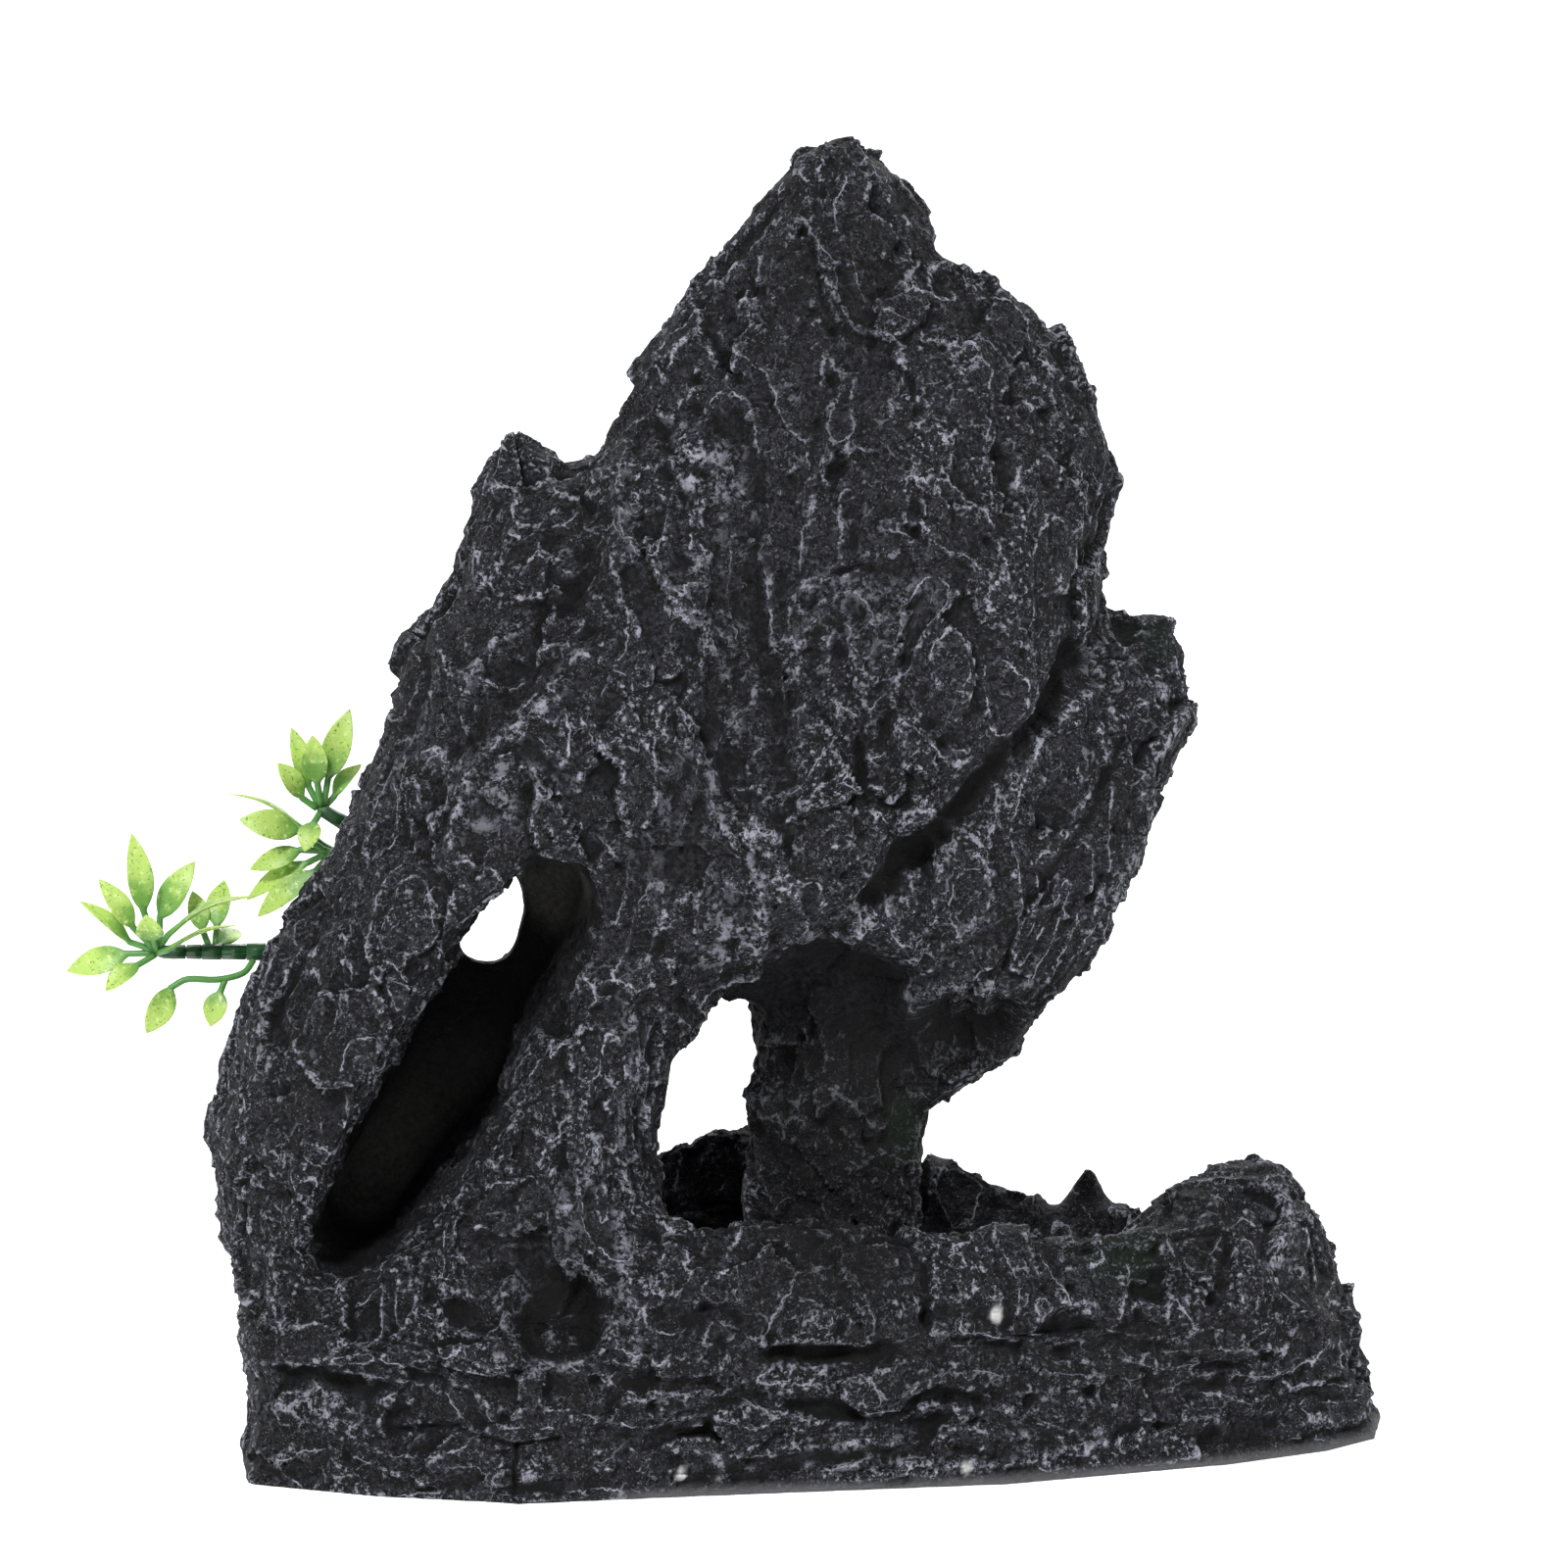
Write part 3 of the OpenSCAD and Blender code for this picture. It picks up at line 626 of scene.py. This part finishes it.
# Each leaf: [stalk from the hub to the blade's foot, tip, width, way that the blade faces, arch,
# greenness]. Points are measured from the spray's hub.
SPRAYS = {
    "lower_whorl": [
        [[(-0.4, -0.2, 0.6), (-2.3, -1, 6.7)], (-3.9, -2, 19.3), 4.2, (0.3, -1, 0), 0.10, 0.4],
        [[(-0.7, -0.4, 0.5), (-3.9, -2, 4.3)], (-9.0, -4, 12.4), 3.6, (0.4, -1, 0.2), 0.12, 0.2],
        [[(-0.9, 0, 0.3), (-4.7, 0, 1.6)], (-12.3, -1, 8.3), 2.6, (0.6, -1, 0.6), 0.10, 0.5],
        [[(-0.9, 0.2, -0.2), (-5.0, 0.5, -0.4)], (-14.7, 1, -3.3), 4.4, (0, -1, 0.4), 0.06, 0.3],
        [[(-0.7, -0.5, -0.4), (-3.1, -2, -1.6)], (-8.1, -5, -5.3), 3.6, (-0.4, -1, 0.6), 0.10, 0.3],
        [[(-0.1, 0.5, 0.7), (0, 1.5, 5.1)], (5.5, 3, 13.9), 4.4, (-0.2, -1, 0.2), 0.10, 0.8],
        [[(-0.3, -0.7, 0.4), (-0.6, -3.2, 2.6)], (-1.4, -6.6, 7.2), 4.4, (0, -1, -0.8), 0.06, 0.7],
        [[(-0.1, -0.6, 0.6), (1.6, -2.4, 3.2)], (15.5, -4, 9.7), 2.6, (-0.3, -0.15, 1), 0.10, 0.6],
        [[(-0.1, -0.9, 0.1), (1.6, -3.4, 1.0)], (12.4, -5, 5.2), 2.6, (-0.2, 0.1, 1), 0.08, 0.6],
    ],
    "lower_back_spray": [
        [[(-0.6, 1.0, 0.9), (-1.6, 3, 2.8)], (-3.4, 6, 8.6), 3.4, (0.2, -1, 0.2), 0.10, 0.5],
        [[(0.5, 0.9, 1.0), (0.6, 3.2, 3.4)], (1.5, 8, 10), 4.0, (-0.2, -1, 0.3), 0.10, 0.5],
        [[(0.5, 1.3, 0.1), (1, 3.6, 0.2)], (3.5, 10, 1.5), 3.4, (0.4, -0.2, 1), 0.08, 0.5],
        [[(-0.5, 1.3, -0.4), (-1.4, 3.6, -0.9)], (-5.5, 10, -2.6), 3.6, (0.3, -0.3, 1), 0.10, 0.4],
    ],
    "lower_branch": [
        [
            [
                (-0.4, -0.6, -1.2), (-2, -2.2, -3), (-6, -3.2, -3.8), (-10.5, -3.8, -3.6),
                (-13, -4.2, -4.8),
            ],
            (-17, -5.6, -11.9), 4.2, (0.2, -1, 0.1), 0.10, 0.3,
        ],
        [[(-4.6, -2.8, -3.6), (-5.4, -3.4, -5.6)], (-7, -4.8, -11), 3.8, (-0.1, -1, 0.2), 0.08, 0.3],
    ],
    "upper_whorl": [
        [[(0.3, 0.1, 0.8), (1, 0.5, 5)], (4.5, 1, 15.9), 4.6, (-0.1, -1, 0.1), 0.08, 0.2],
        [[(-0.1, -0.4, 0.8), (-0.6, -0.9, 4.4)], (-1.2, -2, 12.3), 4.2, (0, -1, 0.2), 0.10, 0.9],
        [[(-0.5, 0.3, 0.7), (-2.1, 0.9, 3.6)], (-4.8, 2.2, 12.8), 3.4, (0.3, -1, 0.1), 0.10, 0.2],
        [[(-0.8, -0.2, 0.3), (-3.0, -0.6, 2)], (-6.8, -1, 7.7), 3.6, (0.4, -1, 0.5), 0.10, 0.4],
        [[(-0.3, -0.8, -0.4), (-1.0, -2.6, -1.4)], (-2.4, -5.6, -5.6), 3.8, (-0.2, -1, 0.5), 0.06, 0.2],
        [[(0.5, 0.6, 0.5), (1.8, 1.9, 1.8)], (6, 5, 6.5), 3.4, (-0.3, -0.6, 1), 0.08, 1.0],
    ],
    "upper_left_spray": [
        [
            [(-0.9, -0.5, -1.2), (-6.0, -1, -2.2), (-10.8, -0.6, 1)],
            (-20, -2.6, 3.3), 4.8, (0.1, -1, 0.4), 0.08, 0.1,
        ],
        [[(-6.0, -1, -2.1), (-10.6, -0.2, -2)], (-18.6, -1, -5), 3.4, (0, -1, 0.3), 0.08, 0.2],
        [[(-5.8, -0.7, -2.1), (-10.4, 1.6, 1)], (-22.2, 4, 6.2), 2.2, (0.2, 0.1, 1), 0.10, 0.7],
        [[(-5.6, -0.5, -2.0), (-9.8, 2.8, -0.2)], (-17.2, 6, 2.8), 2.0, (0.2, 0.2, 1), 0.10, 0.8],
        [[(-5.7, -1.1, -2.3), (-8.2, -0.9, -5.2)], (-17.4, -2, -12.4), 3.8, (-0.3, -1, 0.3), 0.10, 0.4],
        [[(-6.2, -0.8, -2.3), (-9.4, 1.0, -4.2)], (-19.4, 1.5, -10.4), 3.2, (-0.2, -1, 0.6), 0.10, 0.3],
    ],
}


def leaning(degrees):
    """The way that a stem points, so many degrees to the left of straight up."""
    return -math.sin(math.radians(degrees)), 0, math.cos(math.radians(degrees))


# The sprigs: where each leaves the rock, its axis, its stem's length, and each spray's distance
# along it
SPRIGS = {
    "lower": [(-75.5, 15, 72.8), leaning(90), 18.5, {"lower_branch": 7.5, "lower_back_spray": 14.5}],
    "upper": [(-58, 20, 85.7), leaning(59), 13.0, {"upper_left_spray": 8.8}],
}
CAP_L = 5.0
COLLAR_L = 3.0
ROOT_L = 4.5
PLUG_R = 3.0
PIN_R = 0.7
PIN_L = 3.2  # the pin at the stem's end, which the whorl's cap turns on
EDGE = 0.05  # the width of a sharp edge
BORE_R = 1.0  # the stem's radius inside a collar
GAP = 0.1  # between a collar and the stem's shoulders
HUB_BACK = 0.8  # how far the whorl's hub lies inside the cap's tip


def unit(v):
    return v / np.linalg.norm(v)


def through(stops, steps):
    """Points along a smooth curve through a few stops."""
    stops = [np.array(s, float) for s in stops]
    guide = [2 * stops[0] - stops[1], *stops, 2 * stops[-1] - stops[-2]]
    curve = []
    for a, b, c, d in zip(guide, guide[1:], guide[2:], guide[3:]):
        for k in range(steps):
            t = k / steps
            square = (2 * a - 5 * b + 4 * c - d) * t**2
            cube = (3 * b - a - 3 * c + d) * t**3
            curve.append(0.5 * (2 * b + (c - a) * t + square + cube))
    return curve + [stops[-1]]


class Skin:
    """A closed mesh made of lofted shells, with a number from 0 to 1 at each vertex for its paint."""

    def __init__(self):
        self.points, self.faces, self.along, self.green = [], [], [], []

    def loft(self, rings, along, green=0.0):
        sides = len(rings[0])
        start = len(self.points)
        for ring, share in zip(rings, along):
            self.points += [tuple(p * MM) for p in ring]
            self.along += [share] * sides
            self.green += [green] * sides
        last = start + sides * (len(rings) - 1)
        self.faces.append([start + k for k in range(sides)][::-1])
        for row in range(len(rings) - 1):
            for k in range(sides):
                a = start + row * sides + k
                b = start + row * sides + (k + 1) % sides
                self.faces.append([a, b, b + sides, a + sides])
        self.faces.append([last + k for k in range(sides)])

    def piece(self, node, body, paint):
        mesh = bpy.data.meshes.new(node)
        mesh.from_pydata(self.points, [], self.faces)
        store(mesh, "along", np.array(self.along))
        store(mesh, "green", np.array(self.green))
        mesh.shade_smooth()
        mesh.materials.append(paint)
        thing = bpy.data.objects.new(node + "_look", mesh)
        bpy.context.scene.collection.objects.link(thing)
        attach(thing, body)
        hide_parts(node)


def leaf(skin, hub, row):
    """A stalk that widens into a cupped, pointed blade with a midrib."""
    stalk, tip, width, facing, arch, green = row
    tip = np.array(tip, float)
    facing = np.array(facing, float)
    foot = np.array(stalk[-1], float)
    run = tip - foot
    bow = unit(facing) * arch * np.linalg.norm(run)
    shares = [k / LEAF_STEPS for k in range(1, LEAF_STEPS + 1)]
    spine = through(stalk, 4) + [foot + run * t + bow * math.sin(math.pi * t) for t in shares]
    shares = [0.0] * (len(spine) - len(shares)) + shares
    rings = []
    for k, (middle, t) in enumerate(zip(spine, shares)):
        way = unit(spine[min(k + 1, len(spine) - 1)] - spine[max(k - 1, 0)])
        side = unit(np.cross(facing, way))
        up = np.cross(way, side)
        blade = math.sin(math.pi * min(t, 0.995) ** 0.85) ** 0.8
        half = max(width / 2 * blade, STALK_R * (1 - t) ** 0.3 + 0.03)
        thick = max(STALK_R + (LEAF_T / 2 - STALK_R) * min(1, 5 * t), 0) * (1 - 0.85 * t**3)
        ring = []
        for turn in range(LEAF_SIDES):
            angle = 2 * math.pi * turn / LEAF_SIDES
            across, lift = math.cos(angle), math.sin(angle)
            cup = CUP * half * across**2 * blade
            rib = MIDRIB * blade * math.exp(-((across / 0.25) ** 2))
            height = thick * lift * (1 - 0.55 * across**2 * blade) + cup - rib * (lift > 0)
            ring.append(hub + middle + side * half * across + up * height)
        rings.append(ring)
    skin.loft(rings, [0.0 if t == 0 else t for t in shares], green)


def stem_r(far):
    """A main stem's radius, which narrows away from the rock."""
    return 1.5 - 0.02 * far


def turned(skin, base, axis, outline, along, ribs=0.0, lobes=9):
    """A round shell about an axis, through an outline of (distance along, radius), with ribs."""
    axis = np.array(axis, float)
    side = np.array((0.0, 1.0, 0.0))
    up = np.cross(axis, side)
    rings = []
    for far, radius in outline:
        ring = []
        for turn in range(STEM_SIDES):
            angle = 2 * math.pi * turn / STEM_SIDES
            r = radius * (1 - ribs * (0.5 + 0.5 * math.cos(lobes * angle + 0.25 * far)))
            outward = side * math.cos(angle) + up * math.sin(angle)
            ring.append(np.array(base) + axis * far + outward * r)
        rings.append(ring)
    skin.loft(rings, along)


def planting(leaf_look, stem_look, glue_look):
    """Both sprigs: the glued stems, and the sprays and whorls that turn on them."""
    for name, (hole, axis, length, collars) in SPRIGS.items():
        stem = Skin()
        outline = [(-ROOT_L, BORE_R), (-0.4, BORE_R), (0.4, stem_r(0))]
        for at in sorted(collars.values()):
            ends = at - COLLAR_L / 2 - GAP, at + COLLAR_L / 2 + GAP
            outline += [(ends[0] - EDGE, stem_r(ends[0])), (ends[0], BORE_R)]
            outline += [(ends[1], BORE_R), (ends[1] + EDGE, stem_r(ends[1]))]
        outline += [(length - GAP, stem_r(length)), (length, PIN_R), (length + PIN_L, PIN_R)]
        turned(stem, hole, axis, outline, [0.5] * len(outline), ribs=0.09)
        stem.piece(f"{name}_stem", "rock", stem_look)

        plug = Skin()
        outline = [(-ROOT_L, PLUG_R), (-0.6, PLUG_R), (0.1, 2.5), (0.5, 1.6), (0.7, 1.1)]
        turned(plug, hole, axis, outline, [0] * len(outline), ribs=0.06, lobes=5)
        plug.piece(f"{name}_plug", "rock", glue_look)

        for node, at in collars.items():
            spray = Skin()
            outline = [(at + end, stem_r(at + end) + 0.05) for end in (-COLLAR_L / 2, 0, COLLAR_L / 2)]
            turned(spray, hole, axis, outline, [-1.0] * len(outline), ribs=0.07)
            hub = np.array(hole) + np.array(axis) * at
            for row in SPRAYS[node]:
                leaf(spray, hub, row)
            spray.piece(node, node, leaf_look)

        whorl = Skin()
        top = length + CAP_L
        outline = [(length + GAP, stem_r(length)), (length + 2, 1.15)]
        outline += [(top - 1.4, 1.05), (top - 0.4, 0.75), (top, 0.3)]
        turned(whorl, hole, axis, outline, [-1.0, -0.8, -0.5, -0.2, -0.1], ribs=0.07)
        hub = np.array(hole) + np.array(axis) * (top - HUB_BACK)
        for row in SPRAYS[f"{name}_whorl"]:
            leaf(whorl, hub, row)
        whorl.piece(f"{name}_whorl", f"{name}_whorl", leaf_look)


# ---------------------------------------------------------------- materials


CHARCOAL = (0.029, 0.029, 0.0355, 1)
CHARCOAL_DARK = (0.004, 0.004, 0.005, 1)
# Near black: the glue's paint, and the painted shade in the rock's hollows and creases
NEAR_BLACK_AND_SHADE = (0.009, 0.009, 0.0095, 1)
DRY_BRUSH = (0.40, 0.41, 0.48, 1)
CAVE_WALL = (0.15, 0.145, 0.14, 1)
BARE_RIM = (0.13, 0.13, 0.14, 1)
# White resin at the chips, and a painted highlight on a shiny bubble
WHITE_CHIP_AND_GLINT = (0.75, 0.75, 0.75, 1)
MOSS = (0.012, 0.022, 0.012, 1)
LEAF_LIGHT = (0.42, 0.60, 0.13, 1)
LEAF_PALE = (0.66, 0.80, 0.32, 1)
LEAF_GREEN = (0.17, 0.36, 0.07, 1)
LEAF_SPECK = (0.12, 0.27, 0.03, 1)
STALK_GREEN = (0.09, 0.26, 0.06, 1)
STEM_DARK = (0.012, 0.06, 0.018, 1)
STEM_LIGHT = (0.05, 0.17, 0.06, 1)


class Paint:
    """A material under construction: short ways to add and link its nodes."""

    def __init__(self, name):
        self.material = bpy.data.materials.new(name)
        self.material.use_nodes = True
        self.tree = self.material.node_tree
        self.shader = self.tree.nodes["Principled BSDF"]

    def node(self, kind, **settings):
        made = self.tree.nodes.new(kind)
        for key, value in settings.items():
            setattr(made, key, value)
        return made

    def feed(self, socket, value):
        if isinstance(value, bpy.types.NodeSocket):
            self.tree.links.new(value, socket)
        else:
            socket.default_value = value

    def math(self, operation, *values, clamp=False):
        made = self.node("ShaderNodeMath", operation=operation, use_clamp=clamp)
        for socket, value in zip(made.inputs, values):
            self.feed(socket, value)
        return made.outputs[0]

    def ramp(self, low, high, value):
        made = self.node("ShaderNodeMapRange", interpolation_type="SMOOTHSTEP")
        self.feed(made.inputs["Value"], value)
        self.feed(made.inputs["From Min"], low)
        self.feed(made.inputs["From Max"], high)
        return made.outputs["Result"]

    def place(self, stretch=(1, 1, 1)):
        """Where on the piece, in millimetres, stretched along each axis."""
        where = self.node("ShaderNodeTexCoord").outputs["Object"]
        scaled = self.node("ShaderNodeVectorMath", operation="MULTIPLY")
        self.feed(scaled.inputs[0], where)
        self.feed(scaled.inputs[1], [s / MM for s in stretch])
        return scaled.outputs[0]

    def noise(self, where, size, detail, rough):
        made = self.node("ShaderNodeTexNoise")
        self.feed(made.inputs["Vector"], where)
        self.feed(made.inputs["Scale"], 1 / size)
        self.feed(made.inputs["Detail"], detail)
        self.feed(made.inputs["Roughness"], rough)
        return made.outputs["Fac"]

    def bent(self, where, size, amount):
        """The same place pushed about by up to `amount`, so that what is drawn there wanders."""
        push = self.node("ShaderNodeTexNoise")
        self.feed(push.inputs["Vector"], where)
        self.feed(push.inputs["Scale"], 1 / size)
        self.feed(push.inputs["Detail"], 2.0)
        made = self.node("ShaderNodeVectorMath", operation="MULTIPLY_ADD")
        self.feed(made.inputs[0], push.outputs["Color"])
        self.feed(made.inputs[1], (amount, amount, amount))
        self.feed(made.inputs[2], where)
        return made.outputs[0]

    def cell_edges(self, where, size):
        """Distance from the edges of irregular cells about `size` across."""
        made = self.node("ShaderNodeTexVoronoi", feature="DISTANCE_TO_EDGE")
        self.feed(made.inputs["Vector"], where)
        self.feed(made.inputs["Scale"], 1 / size)
        return made.outputs["Distance"]

    def attribute(self, name):
        return self.node("ShaderNodeAttribute", attribute_name=name).outputs["Fac"]

    def mix(self, share, first, second):
        made = self.node("ShaderNodeMix", data_type="RGBA")
        self.feed(made.inputs["Factor"], share)
        self.feed(made.inputs["A"], first)
        self.feed(made.inputs["B"], second)
        return made.outputs["Result"]

    def bump(self, height, distance, strength):
        made = self.node("ShaderNodeBump")
        self.feed(made.inputs["Height"], height)
        self.feed(made.inputs["Distance"], distance)
        self.feed(made.inputs["Strength"], strength)
        return made.outputs["Normal"]


def rock_paint():
    """Charcoal resin, dry-brushed pale on what stands proud, with painted shade that takes it to near
    black in its hollows, creases and shaded patches.
    """
    paint = Paint("painted_resin")
    here = paint.place()
    bent = paint.bent(here, 2.5, 2.4)
    hidden = paint.attribute("buried")
    lift = paint.attribute("lift")
    bulk = paint.attribute("bulk")
    field = paint.attribute("field")
    tooled = paint.attribute("tooled")

    fine = paint.noise(here, 0.38, 3, 0.65)
    crumb = paint.noise(here, 0.9, 4, 0.7)
    lumps = paint.noise(here, 3.5, 4, 0.6)
    patches = paint.ramp(0.46, 0.66, paint.noise(here, 16, 3, 0.6))
    broken = paint.noise(here, 2.6, 4, 0.65)

    level = paint.math("ADD", field, paint.math("MULTIPLY", paint.math("SUBTRACT", crumb, 0.5), 0.35))
    off_edge = paint.math("ABSOLUTE", paint.math("SUBTRACT", paint.math("FRACT", level), 0.62))
    edges = paint.math("SUBTRACT", 1.0, paint.ramp(0.012, 0.045, off_edge))
    edges = paint.math("MULTIPLY", edges, paint.ramp(0.45, 0.56, broken))

    rim = paint.cell_edges(bent, 6.0)
    width = paint.math("MULTIPLY_ADD", paint.ramp(0.5, 0.66, broken), 0.05, 0.0001)
    rims = paint.math("SUBTRACT", 1.0, paint.ramp(0.0, 1.0, paint.math("DIVIDE", rim, width)))
    rims = paint.math("MULTIPLY", rims, paint.math("MULTIPLY_ADD", patches, 0.7, 0.3))

    in_patches = paint.math("MULTIPLY_ADD", patches, 0.85, 0.12)
    crumbs = paint.math("MULTIPLY", paint.ramp(0.55, 0.63, crumb), in_patches)
    specks = paint.math("MULTIPLY", paint.ramp(0.6, 0.68, fine), 0.6)
    raised = paint.math("MULTIPLY", paint.ramp(0.14, 0.4, lift), paint.ramp(0.46, 0.6, crumb))
    patchy = paint.ramp(0.98, 1.14, paint.math("ADD", crumb, broken))
    drawn = paint.math("MULTIPLY", tooled, patchy)
    pale = edges
    for layer in (rims, crumbs, specks, raised, drawn):
        pale = paint.math("MAXIMUM", pale, layer)
    # Painted shade patches: they darken the coat and hold back the dry brush
    painted_shade = paint.attribute("painted_shade")
    in_reach = paint.math("SUBTRACT", 1.0, paint.ramp(0.3, 0.62, hidden))
    outside = paint.math("MULTIPLY", paint.ramp(-0.9, 0.1, bulk), in_reach)
    outside = paint.math("MULTIPLY", outside, paint.math("MULTIPLY_ADD", painted_shade, -0.75, 1.0))
    pale = paint.math("MULTIPLY", pale, outside, clamp=True)

    mottling = paint.ramp(0.41, 0.6, paint.noise(here, 0.8, 4, 0.75))
    charcoal = paint.mix(mottling, CHARCOAL_DARK, CHARCOAL)
    # Painted shade: the coat goes near black in the bump's dents, in creases, in hollows, deep in the
    # cave and in the painted shade patches
    sunk = paint.math("SUBTRACT", 1.0, paint.ramp(0.37, 0.49, lumps))
    creases = paint.math("SUBTRACT", 1.0, paint.ramp(-0.45, -0.05, lift))
    hollows = paint.math("SUBTRACT", 1.0, paint.ramp(-1.6, -0.3, bulk))
    dark = paint.math("MULTIPLY", sunk, 0.85)
    for layer in (creases, hollows, paint.ramp(0.4, 0.85, hidden), painted_shade):
        dark = paint.math("MAXIMUM", dark, layer)
    coat = paint.mix(dark, charcoal, NEAR_BLACK_AND_SHADE)
    coat = paint.mix(paint.math("MULTIPLY", paint.ramp(0.8, 0.95, hidden), crumb), coat, CAVE_WALL)
    coat = paint.mix(paint.math("MULTIPLY", paint.attribute("moss"), broken), coat, MOSS)
    coat = paint.mix(pale, coat, DRY_BRUSH)
    coat = paint.mix(paint.attribute("rim"), coat, BARE_RIM)
    # White at the chips down to the resin, and a painted highlight on the shiny bubble near the peak
    paint.feed(paint.shader.inputs["Base Color"], paint.mix(paint.attribute("chip_and_glint"), coat, WHITE_CHIP_AND_GLINT))
    paint.feed(paint.shader.inputs["Roughness"], paint.math("MULTIPLY_ADD", fine, -0.35, 0.85))
    paint.feed(paint.shader.inputs["Specular IOR Level"], 0.14)
    relief = paint.math("MULTIPLY", lumps, 1.2)
    for layer, share in ((crumb, 0.9), (fine, 0.45), (pale, 0.2)):
        relief = paint.math("MULTIPLY_ADD", layer, share, relief)
    paint.feed(paint.shader.inputs["Normal"], paint.bump(relief, 0.0011, 1.0))
    return paint.material


def leaf_paint():
    """Yellow-green plastic, greener toward the stalk, with dark and pale speckles."""
    paint = Paint("leaf_plastic")
    here = paint.place()
    along = paint.attribute("along")
    green = paint.attribute("green")
    blot = paint.noise(here, 2.2, 3, 0.6)
    reach = paint.math("ADD", along, paint.math("MULTIPLY", paint.math("SUBTRACT", blot, 0.5), 0.9))
    reach = paint.math("SUBTRACT", reach, paint.math("MULTIPLY", green, 0.35))
    blade = paint.mix(paint.ramp(0.0, 0.5, reach), LEAF_GREEN, LEAF_LIGHT)
    blade = paint.mix(paint.ramp(0.55, 0.72, paint.noise(here, 1.1, 4, 0.7)), blade, LEAF_PALE)
    blade = paint.mix(paint.ramp(0.61, 0.66, paint.noise(here, 0.45, 2, 0.6)), blade, LEAF_SPECK)
    stalk = paint.mix(paint.ramp(-0.6, 0.05, along), STEM_DARK, STALK_GREEN)
    paint.feed(paint.shader.inputs["Base Color"], paint.mix(paint.ramp(0.0, 0.14, along), stalk, blade))
    paint.feed(paint.shader.inputs["Roughness"], 0.42)
    paint.feed(paint.shader.inputs["Specular IOR Level"], 0.4)
    paint.feed(paint.shader.inputs["Normal"], paint.bump(paint.noise(here, 0.9, 3, 0.6), 0.0001, 0.6))
    return paint.material


def stem_paint():
    """Dark green plastic, glossy, with streaks along the stem."""
    paint = Paint("stem_plastic")
    here = paint.place((0.25, 1, 1))
    streaks = paint.noise(here, 0.8, 3, 0.6)
    colour = paint.mix(paint.ramp(0.5, 0.75, streaks), STEM_DARK, STEM_LIGHT)
    paint.feed(paint.shader.inputs["Base Color"], colour)
    paint.feed(paint.shader.inputs["Roughness"], 0.25)
    paint.feed(paint.shader.inputs["Normal"], paint.bump(streaks, 0.0002, 0.8))
    return paint.material


def glue_paint():
    """Glue painted over with the rock."""
    paint = Paint("glue")
    colour = paint.mix(paint.noise(paint.place(), 1.5, 3, 0.6), NEAR_BLACK_AND_SHADE, CHARCOAL)
    paint.feed(paint.shader.inputs["Base Color"], colour)
    paint.feed(paint.shader.inputs["Roughness"], 0.5)
    return paint.material


# ---------------------------------------------------------------- the ornament


def part_rock(rock, look):
    """Cuts the carved rock along the seams, and hands each casting over to its CAD node."""
    left = rock
    for node, sides in PARTINGS:
        box = zone(node, sides)
        hand_over(node, cut(left, box, "INTERSECT"), look)
        left = cut(left, box, "DIFFERENCE")
        bpy.data.objects.remove(box)
    hand_over("main_peak", left, look)


# What the rock's paint reads at each vertex, and a mark that is 1 where no cut has been
PAINT_READS = ("buried", "lift", "bulk", "field", "tooled", "painted_shade", "rim", "chip_and_glint", "moss")
UNCUT = "uncut"


def hand_over(node, mesh, look):
    mend(mesh)
    mesh.name = node
    mesh.materials.clear()
    mesh.materials.append(look)
    thing = bpy.data.objects.new(node + "_look", mesh)
    bpy.context.scene.collection.objects.link(thing)
    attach(thing, "rock")
    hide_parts(node)


def mend(mesh):
    """Gives the new vertices along a cut the stored values of the rock next to them."""
    edges = read(mesh.edges, "vertices", 2, np.int32)
    known = read(mesh.attributes[UNCUT].data, "value") > 0.999
    a, b = edges[:, 0], edges[:, 1]
    for name in PAINT_READS:
        data = mesh.attributes[name].data
        value = read(data, "value")
        done = known.copy()
        for _ in range(3):
            total = np.bincount(a, np.where(done[b], value[b], 0), len(value))
            total += np.bincount(b, np.where(done[a], value[a], 0), len(value))
            count = np.bincount(a, done[b], len(value)) + np.bincount(b, done[a], len(value))
            fill = ~done & (count > 0)
            value[fill] = total[fill] / count[fill]
            done |= fill
        value[~done] = 0
        data.foreach_set("value", value)


def main():
    make_camera()
    make_studio()
    rock = carve(blank(rock_nodes()))
    part_rock(rock, rock_paint())
    planting(leaf_paint(), stem_paint(), glue_paint())


main()
